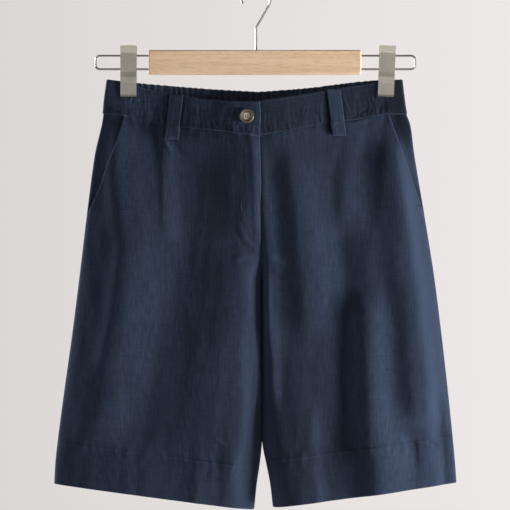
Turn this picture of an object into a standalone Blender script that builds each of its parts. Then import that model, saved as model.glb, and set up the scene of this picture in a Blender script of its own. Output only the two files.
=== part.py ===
"""Bermuda shorts of dark blue linen, held by the waistband on a clip hanger.

Metres, +Z up. The front faces -Y, and the wearer's right is at -X. The origin is
the inside top of the hanger's hook, where a rail or a peg carries it all.

Every piece of cloth is a wall between an inner and an outer surface. Both come
from spot(), which places a point by its side, its face, its share of the way from
the side seam to the middle, its height, and how far it is lifted off the inside.
"""
import math
from collections import namedtuple

import bmesh
import bpy
from mathutils import Matrix, Vector

# Sides and faces
RIGHT, LEFT = -1, 1
FRONT, BACK = -1, 1

# Cloth
CLOTH = 0.0013          # one layer of linen
BAND = 0.0024           # waistband, two layers with its stiffening
LOOP = 0.0018           # belt loop, folded
FACING = 0.0010
HEM_INSIDE = 0.0012     # the turned-up layer, inside the leg
SEAM = 0.0003           # clearance between pieces that meet
FOLD_GAP = 0.0005       # half the space inside the flattened ends of the waist

# Heights of the fly's lower end and of the point where the legs part
FLY_END = -0.323
CROTCH = -0.361

# Outline from the front: side seams of both legs
Sides = namedtuple("Sides", "height right left")
OUTLINE = (
    Sides(-0.117, -0.1850, 0.1815),
    Sides(-0.142, -0.1885, 0.1845),
    Sides(-0.158, -0.1900, 0.1870),
    Sides(-0.174, -0.1925, 0.1925),
    Sides(-0.211, -0.2010, 0.1975),
    Sides(-0.286, -0.2110, 0.2100),
    Sides(-0.361, -0.2200, 0.2220),
    Sides(-0.436, -0.2295, 0.2315),
    Sides(-0.511, -0.2400, 0.2400),
    Sides(-0.586, -0.2495, 0.2475),
    Sides(-0.625, -0.2520, 0.2505),
)

# Line of the fly's edge and of the centre seams
Middle = namedtuple("Middle", "height across")
CENTRE = (
    Middle(-0.143, 0.0030),
    Middle(-0.160, 0.0045),
    Middle(-0.188, 0.0035),
    Middle(-0.232, 0.0045),
    Middle(-0.323, 0.0060),
    Middle(-0.361, 0.0075),
)

# Inner edges of the legs, which part towards the hem
INSEAMS = (
    Sides(-0.361, 0.0071, 0.0079),
    Sides(-0.540, 0.0067, 0.0085),
    Sides(-0.565, 0.0055, 0.0105),
    Sides(-0.595, 0.0025, 0.0150),
    Sides(-0.625, -0.0015, 0.0195),
    Sides(-0.652, -0.0040, 0.0225),
)

# How far front and back stand from the plane of the side seams.
# pinch is 1 where the clips press the waist flat and 0 where the cloth rounds freely.
Depth = namedtuple("Depth", "height front_right front_left back pinch")
DEPTHS = (
    Depth(-0.117, 0.015, 0.015, 0.015, 1.00),
    Depth(-0.160, 0.019, 0.019, 0.020, 0.90),
    Depth(-0.190, 0.023, 0.023, 0.025, 0.60),
    Depth(-0.230, 0.026, 0.026, 0.030, 0.25),
    Depth(-0.286, 0.028, 0.028, 0.033, 0.00),
    Depth(-0.361, 0.029, 0.029, 0.033, 0.00),
    Depth(-0.450, 0.028, 0.031, 0.032, 0.00),
    Depth(-0.540, 0.026, 0.032, 0.031, 0.00),
    Depth(-0.652, 0.025, 0.032, 0.030, 0.00),
)
PINCH_REACH = 0.040     # flat stretch beside each side seam at the clips
LEG_TURN = 0.060        # width over which a leg's inner edge turns under
LEG_TURN_POWER = 2.5    # 2 would make that turn an arc; more keeps it fuller
LEGS_LEAVE = 1 / 6      # the inner edges leave the centre seam over this share of the crotch
SIDE_ROUND = {"upper": 1.00, "lower": 0.55}     # share of the half that rounds to the side
SIDE_ROUND_START, SIDE_ROUND_LENGTH = -0.25, 0.17

# Edges that run across, by share of the way from the side seam to the middle
Edge = namedtuple("Edge", "share right left")
FRONT_TOP = (
    Edge(0.00, -0.117, -0.117),
    Edge(0.16, -0.124, -0.120),
    Edge(0.31, -0.131, -0.124),
    Edge(0.50, -0.137, -0.130),
    Edge(0.66, -0.142, -0.135),
    Edge(0.83, -0.145, -0.140),
    Edge(1.00, -0.145, -0.144),
)
FRONT_SEAM = (
    Edge(0.00, -0.160, -0.160),
    Edge(0.15, -0.163, -0.161),
    Edge(0.37, -0.173, -0.168),
    Edge(0.60, -0.179, -0.174),
    Edge(0.80, -0.183, -0.181),
    Edge(1.00, -0.189, -0.188),
)
BACK_TOP = (
    Edge(0.00, -0.117, -0.117),
    Edge(0.18, -0.121, -0.118),
    Edge(0.36, -0.124, -0.121),
    Edge(0.65, -0.128, -0.127),
    Edge(1.00, -0.1315, -0.1315),
)
BACK_SEAM = (
    Edge(0.00, -0.160, -0.160),
    Edge(0.30, -0.165, -0.164),
    Edge(0.65, -0.172, -0.171),
    Edge(1.00, -0.176, -0.176),
)
HEM = (
    Edge(0.00, -0.6205, -0.619),
    Edge(1.00, -0.6520, -0.649),
)
HEM_DEPTH = {RIGHT: 0.052, LEFT: 0.057}

# Slanted pocket mouths, from the waistband seam down to the side seam
Mouth = namedtuple("Mouth", "height right left")
POCKET = (
    Mouth(-0.160, -0.1635, 0.1655),
    Mouth(-0.193, -0.1730, 0.1770),
    Mouth(-0.217, -0.1815, 0.1850),
    Mouth(-0.240, -0.1895, 0.1925),
    Mouth(-0.264, -0.1995, 0.2015),
)
POCKET_END = -0.286
FACING_MARGIN = 0.012   # how far the facing reaches under the front
FACING_DROP = 0.0006    # and how far below the front's inside it lies there

# Waistband pieces meet on the front, near the clips
BAND_SEAM = {RIGHT: -0.1660, LEFT: 0.1650}
BAND_MIDDLE = -0.140    # height half way down the band
BAND_SPAN = 0.19        # and its width on each half of the front

# The right front lies over the left at the fly
FLY_LAP = 0.0015        # its edge reaches this far past the middle
FLY_LAP_END = FLY_END + 0.05        # down to here, and less over the last stretch above it
FLY_LAP_FADE = 0.020
UNDERLAP_END = FLY_END + 0.02
UNDERLAP_COLUMNS = 2    # as many of the right front's last columns
FLY_RISE_START = 0.060  # the front starts to rise this far from its edge
FLY_RISE_FULL = 0.033   # and lies clear of the underlap from here on
FLY_RISE_FADE = 0.016   # it comes down again over this height at the fly's end

# Folds: a crest (height above 0) or a trough (below 0) along a line through three points
Fold = namedtuple("Fold", "face top across_top mid across_mid low across_low width rise")
FOLDS = (
    Fold(FRONT, -0.185, -0.1675, -0.379, -0.1675, -0.560, -0.2010, 0.020, 0.0035),
    Fold(FRONT, -0.200, -0.0710, -0.392, -0.1000, -0.570, -0.1325, 0.024, -0.0040),
    Fold(FRONT, -0.240, -0.0375, -0.404, -0.0410, -0.640, -0.0660, 0.022, 0.0045),
    Fold(FRONT, -0.215, 0.0225, -0.379, 0.0340, -0.560, 0.0400, 0.012, -0.0025),
    Fold(FRONT, -0.205, 0.0475, -0.367, 0.0650, -0.600, 0.0660, 0.018, 0.0035),
    Fold(FRONT, -0.270, 0.1025, -0.429, 0.1075, -0.640, 0.1025, 0.020, -0.0040),
    Fold(FRONT, -0.185, 0.1125, -0.240, 0.1075, -0.310, 0.1025, 0.014, 0.0020),
    Fold(FRONT, -0.185, 0.1440, -0.267, 0.1410, -0.370, 0.1550, 0.014, -0.0025),
    Fold(FRONT, -0.340, 0.1400, -0.504, 0.1410, -0.660, 0.1625, 0.017, 0.0040),
    Fold(FRONT, -0.360, 0.1690, -0.511, 0.1800, -0.650, 0.2050, 0.013, -0.0025),
    Fold(BACK, -0.210, -0.1500, -0.390, -0.1600, -0.610, -0.1900, 0.022, 0.0040),
    Fold(BACK, -0.220, -0.1050, -0.380, -0.1120, -0.560, -0.1300, 0.022, -0.0040),
    Fold(BACK, -0.205, -0.0600, -0.400, -0.0660, -0.660, -0.0800, 0.022, 0.0040),
    Fold(BACK, -0.260, 0.0260, -0.420, 0.0300, -0.600, 0.0400, 0.014, -0.0030),
    Fold(BACK, -0.210, 0.0550, -0.390, 0.0600, -0.630, 0.0720, 0.020, 0.0040),
    Fold(BACK, -0.230, 0.0950, -0.400, 0.1040, -0.560, 0.1120, 0.022, -0.0040),
    Fold(BACK, -0.205, 0.1400, -0.400, 0.1500, -0.640, 0.1760, 0.020, 0.0035),
)
FOLD_FADE = 0.050       # a fold dies away over this length at each end
SEAM_CALM = 0.025       # and towards the seams over this width

# Gathers of the elasticated band, and the fuller ones that run into the backs
GATHERS = 20            # on each half of the back
GATHER_RISE = 0.0008
GATHER_START = 0.16     # share of the half where they start
GATHER_FADE = {"band": 0.08, "back": 0.10}      # and over this share they reach full size
BACK_GATHERS = 8
BACK_GATHER_RISE = 0.0014
BACK_GATHER_END = -0.245

# Belt loops: tops at the band's upper edge, lower ends below its seam
Carrier = namedtuple("Carrier", "name face across_top across_low clear")
LOOPS = (
    Carrier("belt_loop_front_right", FRONT, -0.1000, -0.1055, 0.0),
    Carrier("belt_loop_front_left", FRONT, 0.0980, 0.1040, 0.0),
    Carrier("belt_loop_back_right", BACK, -0.0940, -0.0960, 0.0010),
    Carrier("belt_loop_back_middle", BACK, 0.0040, 0.0040, 0.0010),
    Carrier("belt_loop_back_left", BACK, 0.0960, 0.0980, 0.0010),
)
LOOP_WIDTH = 0.016
LOOP_TAIL = 0.013       # free end below the waistband seam
LOOP_TOP_DROP = 0.0005  # its top lies this far below the band's upper edge
LOOP_BOW = 0.0008       # it stands off the band by this much half way

# Button
BUTTON_ACROSS, BUTTON_HEIGHT = -0.0110, -0.1625
BUTTON_RADIUS = 0.0092
BUTTON_THICK = 0.0034
BUTTON_HOLE = 0.0011
BUTTON_HOLE_SPREAD = 0.0019

# Hanger
BAR_LEFT_END, BAR_RIGHT_END = -0.1340, 0.1310
BAR_TOP, BAR_BOTTOM = -0.0805, -0.1111
BAR_THICK = 0.012
WIRE_RADIUS = 0.00125
WIRE_HEIGHTS = (-0.0875, -0.1043)
WIRE_ENDS = {RIGHT: -0.2010, LEFT: 0.1995}
WIRE_CORNER = 0.005
WIRE_SEAT = 0.012
HOOK_RADIUS = 0.00145
CROOK_RADIUS = 0.018
HOOK_BEND = -0.0525     # height where the shank turns aside
HOOK_SEAT = 0.014

# Clips: middle of each, its tilt in the plane of the garment, and its jaws
Clip = namedtuple("Clip", "side across tilt")
CLIPS = (Clip(RIGHT, -0.1588, 0.0), Clip(LEFT, 0.1632, math.radians(2.3)))
CLIP_WIDTH = 0.020
CLIP_MIDDLE = -0.096
SLIDER_WIDTH, SLIDER_THICK, SLIDER_HEIGHT = 0.015, 0.008, 0.026
JAW = 0.0012
Bend = namedtuple("Bend", "height out")
JAW_LINE = (            # inner face of a jaw, top to bottom
    Bend(-0.0750, 0.0088),
    Bend(-0.0840, 0.0044),
    Bend(-0.1080, 0.0043),
    Bend(-0.1140, 0.0050),
    Bend(-0.1215, 0.0034),
    Bend(-0.1360, 0.0034),
    Bend(-0.1385, 0.0042),
)

# Grids of the cloth pieces
FRONT_COLUMNS, BACK_COLUMNS, HEM_COLUMNS = 22, 28, 22
FRONT_BAND_COLUMNS, BAND_ROWS = 12, 3
COLUMNS_SHIFT = 0.12    # below the pockets columns move to a leg's inner edge over this height
FACING_SHOWN = (0, 0.25, 0.5, 0.8, 1)       # shares of the part that shows in the mouth
FACING_HIDDEN = (0.3, 0.6, 1)               # and of the margin under the front
BACK_BAND_PLAIN = (0.004, 0.02, 0.05, 0.09, 0.13)   # shares before the gathers start
BACK_BAND_WRAP = 5      # columns where the back band comes round to the front
EDGE = 1e-6             # shares nearer a seam than this are on it
ROW_HEIGHTS = (-0.207, -0.231, -0.255, -0.279, -0.298, -0.312, -0.325, -0.339, -0.350,
               -0.358, -0.3615, -0.380, -0.410, -0.442, -0.475, -0.508, -0.540, -0.570)


# ---------------------------------------------------------------- curves and tables

def read(table, at, column):
    """Value of one column of a table at a point of its first column, on a smooth curve."""
    keys = [row[0] for row in table]
    values = [getattr(row, column) for row in table]
    turn = 1 if keys[-1] > keys[0] else -1
    keys = [turn * key for key in keys]
    at = min(max(turn * at, keys[0]), keys[-1])
    i = next(n for n in range(len(keys) - 1) if at <= keys[n + 1])
    span = keys[i + 1] - keys[i]

    def slope(n):
        before, after = max(n - 1, 0), min(n + 1, len(keys) - 1)
        return (values[after] - values[before]) / (keys[after] - keys[before])

    t = (at - keys[i]) / span
    rising = t * t * (3 - 2 * t)
    return (values[i] * (1 - rising) + values[i + 1] * rising
            + slope(i) * span * t * (1 - t) ** 2 - slope(i + 1) * span * t * t * (1 - t))


def ease(t):
    """0 below 0, 1 above 1, and smooth between."""
    t = min(max(t, 0.0), 1.0)
    return t * t * (3 - 2 * t)


def name_of(side):
    return "right" if side == RIGHT else "left"


# ---------------------------------------------------------------- the garment's form

def leg_share(z):
    """0 where the trunk is one tube, 1 where the legs are two, a round seam between."""
    t = min(max((FLY_END - z) / (FLY_END - CROTCH), 0.0), 1.0)
    return 1 - math.sqrt(1 - t * t)


def side_edge(side, z):
    return read(OUTLINE, z, name_of(side)) - side * CLOTH


def inner_edge(side, z):
    """Centre seam above the crotch, inseam below it, at the inside of the cloth."""
    seam = read(CENTRE, z, "across") + side * SEAM / 2
    turned = ease(leg_share(z) / LEGS_LEAVE)
    leg = read(INSEAMS, z, name_of(side)) + side * CLOTH
    return seam * (1 - turned) + leg * turned


def folds(face, x, z):
    """Height of all folds at one point of the front or back."""
    total = 0.0
    for fold in FOLDS:
        if fold.face != face or not fold.low < z < fold.top:
            continue
        t = (z - fold.mid) / (fold.top - fold.mid)
        s = (z - fold.mid) / (fold.low - fold.mid)
        k = (fold.top - fold.mid) / (fold.low - fold.mid)
        bow_top = t * (s - 1) / (k - 1)
        bow_low = s * (t - 1) / (1 / k - 1)
        across = (fold.across_mid * (1 - t) * (1 - s)
                  + fold.across_top * bow_top + fold.across_low * bow_low)
        fade = ease((fold.top - z) / FOLD_FADE) * ease((z - fold.low) / FOLD_FADE)
        total += fold.rise * fade * math.exp(-((x - across) / fold.width) ** 2)
    return total


def gathers(side, f, z):
    """Fullness that the elastic sends into the back, just below the waistband."""
    seam = read(BACK_SEAM, f, name_of(side))
    fade = ease((z - BACK_GATHER_END) / (seam - BACK_GATHER_END))
    middle = ease((f - GATHER_START) / GATHER_FADE["back"])
    phase = BACK_GATHERS * (f - GATHER_START) / (1 - GATHER_START)
    return BACK_GATHER_RISE * fade * middle * math.sin(2 * math.pi * phase)


def flat_spot(side, face, f, z):
    """Point (x, y) on the inside of the cloth, f of the way from side seam to middle."""
    edge, inner = side_edge(side, z), inner_edge(side, z)
    width = abs(inner - edge)
    x = edge + (inner - edge) * f
    from_side, from_middle = f * width, (1 - f) * width

    column = "back" if face == BACK else "front_" + name_of(side)
    depth = read(DEPTHS, z, column)
    pinch = read(DEPTHS, z, "pinch")
    legs = leg_share(z)
    lower = ease((SIDE_ROUND_START - z) / SIDE_ROUND_LENGTH)
    full_at = SIDE_ROUND["upper"] * (1 - lower) + SIDE_ROUND["lower"] * lower
    r = min(f / full_at, 1.0)
    free = math.sqrt(1 - (1 - r) ** 2)
    q = min(max((from_side - PINCH_REACH) / (width - PINCH_REACH), 0.0), 1.0)
    pressed = (1 - math.cos(math.pi * q)) / 2
    turn = min(max(1 - from_middle / LEG_TURN, 0.0), 1.0)
    under = (1 - turn ** LEG_TURN_POWER) ** (1 / LEG_TURN_POWER)
    opening = depth * ((1 - pinch) * free + pinch * pressed) * (1 - legs * (1 - under))
    nose = pinch * FOLD_GAP * (1 - math.exp(-from_side / FOLD_GAP))

    calm = ease(from_side / SEAM_CALM) * ease((from_middle - 0.002) / SEAM_CALM)
    bulge = folds(face, x, z) * calm
    return Vector((x, face * (SEAM / 2 + nose + opening + bulge)))


def spot(side, face, f, z, lift=0.0):
    """Point of the cloth at one height, lifted off its inside towards the outside."""
    base = flat_spot(side, face, f, z)
    if f < EDGE:
        out = Vector((side, 0))
    elif f > 1 - EDGE:
        turned = ease(leg_share(z) / LEGS_LEAVE)
        out = Vector((-side * turned, face * (1 - turned))).normalized()
    else:
        step = min(1e-3, f, 1 - f)
        along = flat_spot(side, face, f + step, z) - flat_spot(side, face, f - step, z)
        out = Vector((-along.y, along.x)).normalized()
        if out.y * face < 0 or (abs(out.y) < 1e-6 and out.x * side < 0):
            out = -out
    point = base + out * lift
    return Vector((point.x, point.y, z))


def share_at(side, x, z):
    edge, inner = side_edge(side, z), inner_edge(side, z)
    return (x - edge) / (inner - edge)


def on_cloth(face, x, z, lift):
    """Point of the front or back at x and z, for what lies on it."""
    side = RIGHT if x < read(CENTRE, z, "across") else LEFT
    return spot(side, face, min(max(share_at(side, x, z), 0.0), 1.0), z, lift)


def rise_at_fly(side, face, f, z, thickness):
    """Extra lift of the right front over the underlap."""
    if side != RIGHT or face != FRONT:
        return 0.0
    from_edge = (1 - f) * abs(inner_edge(side, z) - side_edge(side, z))
    near = 1 - ease((from_edge - FLY_RISE_FULL) / (FLY_RISE_START - FLY_RISE_FULL))
    above = ease((z - FLY_END) / FLY_RISE_FADE)
    return (thickness + SEAM) * near * above


# ---------------------------------------------------------------- making the pieces

def material(name, colour, roughness, metallic=0.0):
    made = bpy.data.materials.new(name)
    made.use_nodes = True
    shader = made.node_tree.nodes["Principled BSDF"]
    shader.inputs["Base Color"].default_value = (*colour, 1)
    shader.inputs["Roughness"].default_value = roughness
    shader.inputs["Metallic"].default_value = metallic
    made.diffuse_color = (*colour, 1)
    return made


def place_object(name, data, finish, collection=None):
    made = bpy.data.objects.new(name, data)
    made.data.materials.clear()
    made.data.materials.append(finish)
    (collection or parts).objects.link(made)
    return made


def wall(name, rows, finish, ring=False):
    """A closed wall of cloth through rows of (inner, outer) points; a ring has no ends."""
    mesh = bmesh.new()
    layers = [[[mesh.verts.new(pair[k]) for pair in row] for row in rows] for k in (0, 1)]
    inner, outer = layers
    last = len(rows) - 1
    columns = len(rows[0])

    def split(a, b, c, d):
        """Two triangles, so that layers on the same points bend along the same lines."""
        mesh.faces.new((a, b, c))
        mesh.faces.new((a, c, d))

    for j in range(columns if ring else columns - 1):
        k = (j + 1) % columns
        for i in range(last):
            split(inner[i][j], inner[i][k], inner[i + 1][k], inner[i + 1][j])
            split(outer[i][j], outer[i + 1][j], outer[i + 1][k], outer[i][k])
        split(outer[0][j], outer[0][k], inner[0][k], inner[0][j])
        split(inner[last][j], inner[last][k], outer[last][k], outer[last][j])
    if not ring:
        end = columns - 1
        for i in range(last):
            split(inner[i][0], inner[i + 1][0], outer[i + 1][0], outer[i][0])
            split(outer[i][end], outer[i + 1][end], inner[i + 1][end], inner[i][end])
    bmesh.ops.recalc_face_normals(mesh, faces=mesh.faces)
    data = bpy.data.meshes.new(name)
    mesh.to_mesh(data)
    mesh.free()
    data.shade_smooth()
    data.set_sharp_from_angle(angle=math.radians(50))
    return place_object(name, data, finish)


def column_share(c, z):
    """Spacing of columns: close at the side, and at a leg's inner edge too."""
    legs = ease((POCKET_END - z) / COLUMNS_SHIFT)
    return ((1 - math.cos(math.pi * c / 2)) * (1 - legs)
            + (1 - math.cos(math.pi * c)) / 2 * legs)


def panel_ends(side, face, f):
    """Heights of a panel's upper and lower edges."""
    seam = FRONT_SEAM if face == FRONT else BACK_SEAM
    low = read(HEM, f, name_of(side)) + HEM_DEPTH[side] + SEAM
    return read(seam, f, name_of(side)) - SEAM, low


def panel_rows(side, face):
    """Shares of the way down, so that front and back rows meet at the crotch."""
    top, low = panel_ends(side, face, 1)
    return [0] + [(top - height) / (top - low) for height in ROW_HEIGHTS] + [1]


def panel_point(side, face, c, w):
    """(share, height) of column c and row w of a front or back panel."""
    f = 0.5 * c
    for _ in range(4):
        top, low = panel_ends(side, face, f)
        z = top + (low - top) * w
        f = column_share(c, z)
        if face == FRONT and z > POCKET_END:
            start = mouth_share(side, z)
            f = start + (1 - start) * f
    return f, z


def mouth_share(side, z):
    """Where the pocket mouth crosses this height."""
    if z <= POCKET[-1].height:
        across_end = side_edge(side, POCKET_END)
        t = (z - POCKET_END) / (POCKET[-1].height - POCKET_END)
        across = across_end + (getattr(POCKET[-1], name_of(side)) - across_end) * t
    else:
        across = read(POCKET, z, name_of(side))
    return max(share_at(side, across, z), 0.0)


def panel(side, face, columns):
    """A front or back, from the waistband seam to the hem."""
    rows = []
    for w in panel_rows(side, face):
        row = []
        for c in range(columns + 1):
            f, z = panel_point(side, face, c / columns, w)
            rise = rise_at_fly(side, face, f, z, CLOTH)
            wave = Vector((0, gathers(side, f, z), 0)) if face == BACK else Vector()
            pair = [spot(side, face, f, z, rise) + wave,
                    spot(side, face, f, z, rise + CLOTH) + wave]
            if c == columns and side == RIGHT and face == FRONT:
                lap = FLY_LAP * ease((z - FLY_LAP_END) / FLY_LAP_FADE)
                pair = [point + Vector((lap, 0, 0)) for point in pair]
            row.append(pair)
        rows.append(row)
    name = ("front_" if face == FRONT else "back_") + name_of(side)
    return wall(name, rows, linen)


def pocket_facing(side):
    """The cloth behind a pocket mouth, sewn into the side seam and the waistband."""
    rows = []
    for w in panel_rows(side, FRONT):
        start, z = panel_point(side, FRONT, 0, w)
        if z < POCKET_END:
            break
        margin = FACING_MARGIN / abs(inner_edge(side, z) - side_edge(side, z))
        shown = [start * t for t in FACING_SHOWN]
        hidden = [start + margin * t for t in FACING_HIDDEN]
        row = []
        for f in shown + hidden:
            under = ease(f / (0.8 * start))
            top = CLOTH * (1 - under) - FACING_DROP * under
            row.append((spot(side, FRONT, f, z, top - FACING), spot(side, FRONT, f, z, top)))
        rows.append(row)
    return wall("pocket_facing_" + name_of(side), rows, linen)


def underlap_columns(columns):
    return range(columns - UNDERLAP_COLUMNS, columns + 1)


def fly_underlap():
    """Strip behind the fly edge, on the points of the right front's last columns."""
    rows = []
    for w in panel_rows(RIGHT, FRONT):
        if panel_point(RIGHT, FRONT, 1, w)[1] < UNDERLAP_END:
            break
        row = []
        for c in underlap_columns(FRONT_COLUMNS):
            f, z = panel_point(RIGHT, FRONT, c / FRONT_COLUMNS, w)
            row.append((spot(RIGHT, FRONT, f, z), spot(RIGHT, FRONT, f, z, CLOTH)))
        rows.append(row)
    return wall("fly_underlap", rows, linen)


def band_share(side, c):
    """Share of column c of a front waistband piece, from its side seam to the fly."""
    start = share_at(side, BAND_SEAM[side], BAND_MIDDLE) + SEAM / BAND_SPAN
    first = 2 / math.pi * math.acos(1 - start)
    angle = math.pi / 2 * (first + (1 - first) * c / FRONT_BAND_COLUMNS)
    return 1 - math.cos(angle)


def band_height(side, face, f, t):
    """Height on a waistband, t of the way from its upper edge to its seam."""
    tops, seams = (FRONT_TOP, FRONT_SEAM) if face == FRONT else (BACK_TOP, BACK_SEAM)
    top, seam = read(tops, f, name_of(side)), read(seams, f, name_of(side))
    return top + (seam - top) * t


def waistband_front(side):
    """A front half of the waistband; the left one goes on under the right as underlap."""
    columns = [(side, c) for c in range(FRONT_BAND_COLUMNS + 1)]
    if side == LEFT:
        columns += [(RIGHT, c) for c in reversed(underlap_columns(FRONT_BAND_COLUMNS))]
    rows = []
    for r in range(BAND_ROWS + 1):
        row = []
        for half, c in columns:
            f = band_share(half, c)
            z = band_height(half, FRONT, f, r / BAND_ROWS)
            rise = rise_at_fly(half, FRONT, f, z, BAND) if side == RIGHT else 0.0
            pair = [spot(half, FRONT, f, z, rise), spot(half, FRONT, f, z, rise + BAND)]
            if side == RIGHT and c == FRONT_BAND_COLUMNS:
                pair = [point + Vector((FLY_LAP, 0, 0)) for point in pair]
            row.append(pair)
        rows.append(row)
    return wall("waistband_front_" + name_of(side), rows, linen)


def waistband_back():
    """The elasticated band: gathered behind, plain where it comes round to the front."""
    wrap = []
    for side in (RIGHT, LEFT):
        end = share_at(side, BAND_SEAM[side], BAND_MIDDLE)
        wrap.append([(side, FRONT, end * (1 - c / BACK_BAND_WRAP) ** 1.5)
                     for c in range(BACK_BAND_WRAP + 1)])
    plain = list(BACK_BAND_PLAIN)
    steps = GATHERS * 4
    waved = [GATHER_START + (1 - GATHER_START) * n / steps for n in range(steps + 1)]
    right_back = [(RIGHT, BACK, f) for f in [0.0] + plain + waved[:-1]]
    left_back = [(LEFT, BACK, f) for f in reversed([0.0] + plain + waved)]
    stations = wrap[0] + right_back + left_back + wrap[1][::-1]
    rows = []
    for r in range(3):
        row = []
        for side, face, f in stations:
            z = band_height(side, face, f, r / 2)
            phase = GATHERS * (f - GATHER_START) / (1 - GATHER_START)
            swell = ease((f - GATHER_START) / GATHER_FADE["band"]) if face == BACK else 0.0
            wave = Vector((0, GATHER_RISE * swell * math.sin(2 * math.pi * phase), 0))
            row.append((spot(side, face, f, z) + wave, spot(side, face, f, z, BAND) + wave))
        rows.append(row)
    return wall("waistband_back", rows, linen)


def hem(side):
    """The turned-up hem, a ring of two layers at the end of a leg."""
    rows = []
    for t in (0, 0.34, 0.67, 1):
        row = []
        for face, count in ((FRONT, 1), (BACK, -1)):
            for c in list(range(HEM_COLUMNS + 1))[::count]:
                f = (1 - math.cos(math.pi * c / HEM_COLUMNS)) / 2
                z = read(HEM, f, name_of(side)) + HEM_DEPTH[side] * (1 - t)
                row.append((spot(side, face, f, z, -HEM_INSIDE), spot(side, face, f, z, CLOTH)))
        rows.append(row)
    return wall("hem_" + name_of(side), rows, linen, ring=True)


def belt_loop(carrier):
    """A folded strip on the waistband, its lower end free below the seam."""
    side = RIGHT if carrier.across_top < 0 else LEFT
    share = share_at(side, carrier.across_top, BAND_MIDDLE)
    top = band_height(side, carrier.face, share, 0) - LOOP_TOP_DROP
    low = band_height(side, carrier.face, share, 1) - LOOP_TAIL
    rows = []
    for r in range(7):
        t = r / 6
        z = top + (low - top) * t
        middle = carrier.across_top + (carrier.across_low - carrier.across_top) * t
        lift = BAND + SEAM + carrier.clear + LOOP_BOW * math.sin(math.pi * t)
        row = []
        for c in range(3):
            x = middle + LOOP_WIDTH * (c / 2 - 0.5)
            row.append((on_cloth(carrier.face, x, z, lift),
                        on_cloth(carrier.face, x, z, lift + LOOP)))
        rows.append(row)
    return wall(carrier.name, rows, linen)


# ---------------------------------------------------------------- hard pieces

def solid_of(curve, name, finish):
    """A curve's solid as a mesh with its caps welded on."""
    bpy.context.view_layer.update()
    seen = curve.evaluated_get(bpy.context.evaluated_depsgraph_get())
    data = bpy.data.meshes.new_from_object(seen)
    mesh = bmesh.new()
    mesh.from_mesh(data)
    bmesh.ops.remove_doubles(mesh, verts=mesh.verts, dist=1e-6)
    mesh.to_mesh(data)
    mesh.free()
    made = place_object(name, data, finish)
    made.matrix_world = curve.matrix_world
    bpy.data.objects.remove(curve)
    return made


def rod(name, points, radius, finish):
    """A round wire through a list of points."""
    curve = bpy.data.curves.new(name, "CURVE")
    curve.dimensions = "3D"
    curve.bevel_depth = radius
    curve.bevel_resolution = 2
    curve.use_fill_caps = True
    line = curve.splines.new("POLY")
    line.points.add(len(points) - 1)
    for point, place in zip(line.points, points):
        point.co = (*place, 1)
    made = place_object(name, curve, finish)
    return made


def cut(target, cutter):
    """Take a cutter out of a target; the cutter stays as a hidden guide."""
    hole = target.modifiers.new("cut", "BOOLEAN")
    hole.operation = "DIFFERENCE"
    hole.object = cutter
    cutter.hide_render = True
    cutter.display_type = "WIRE"


def drill(name, start, end, radius):
    """A round cutter between two points."""
    axis = Vector(end) - Vector(start)
    mesh = bmesh.new()
    bmesh.ops.create_cone(mesh, cap_ends=True, segments=12, radius1=radius, radius2=radius,
                          depth=axis.length)
    data = bpy.data.meshes.new(name)
    mesh.to_mesh(data)
    mesh.free()
    made = bpy.data.objects.new(name, data)
    cutters.objects.link(made)
    made.rotation_euler = axis.to_track_quat("Z", "Y").to_euler()
    made.location = (Vector(start) + Vector(end)) / 2
    return made


def block(name, size, centre, finish, rounding):
    """A box with rounded edges."""
    mesh = bmesh.new()
    bmesh.ops.create_cube(mesh, size=1)
    bmesh.ops.scale(mesh, vec=size, verts=mesh.verts)
    data = bpy.data.meshes.new(name)
    mesh.to_mesh(data)
    mesh.free()
    made = place_object(name, data, finish)
    made.location = centre
    soften = made.modifiers.new("edges", "BEVEL")
    soften.width = rounding
    soften.segments = 2
    return made


def arc(centre, radius, start, end, steps):
    """Points of an arc in the plane of the hanger; angles in degrees."""
    angles = [math.radians(start + (end - start) * n / steps) for n in range(steps + 1)]
    return [(centre[0] + radius * math.cos(a), 0, centre[1] + radius * math.sin(a))
            for a in angles]


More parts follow.
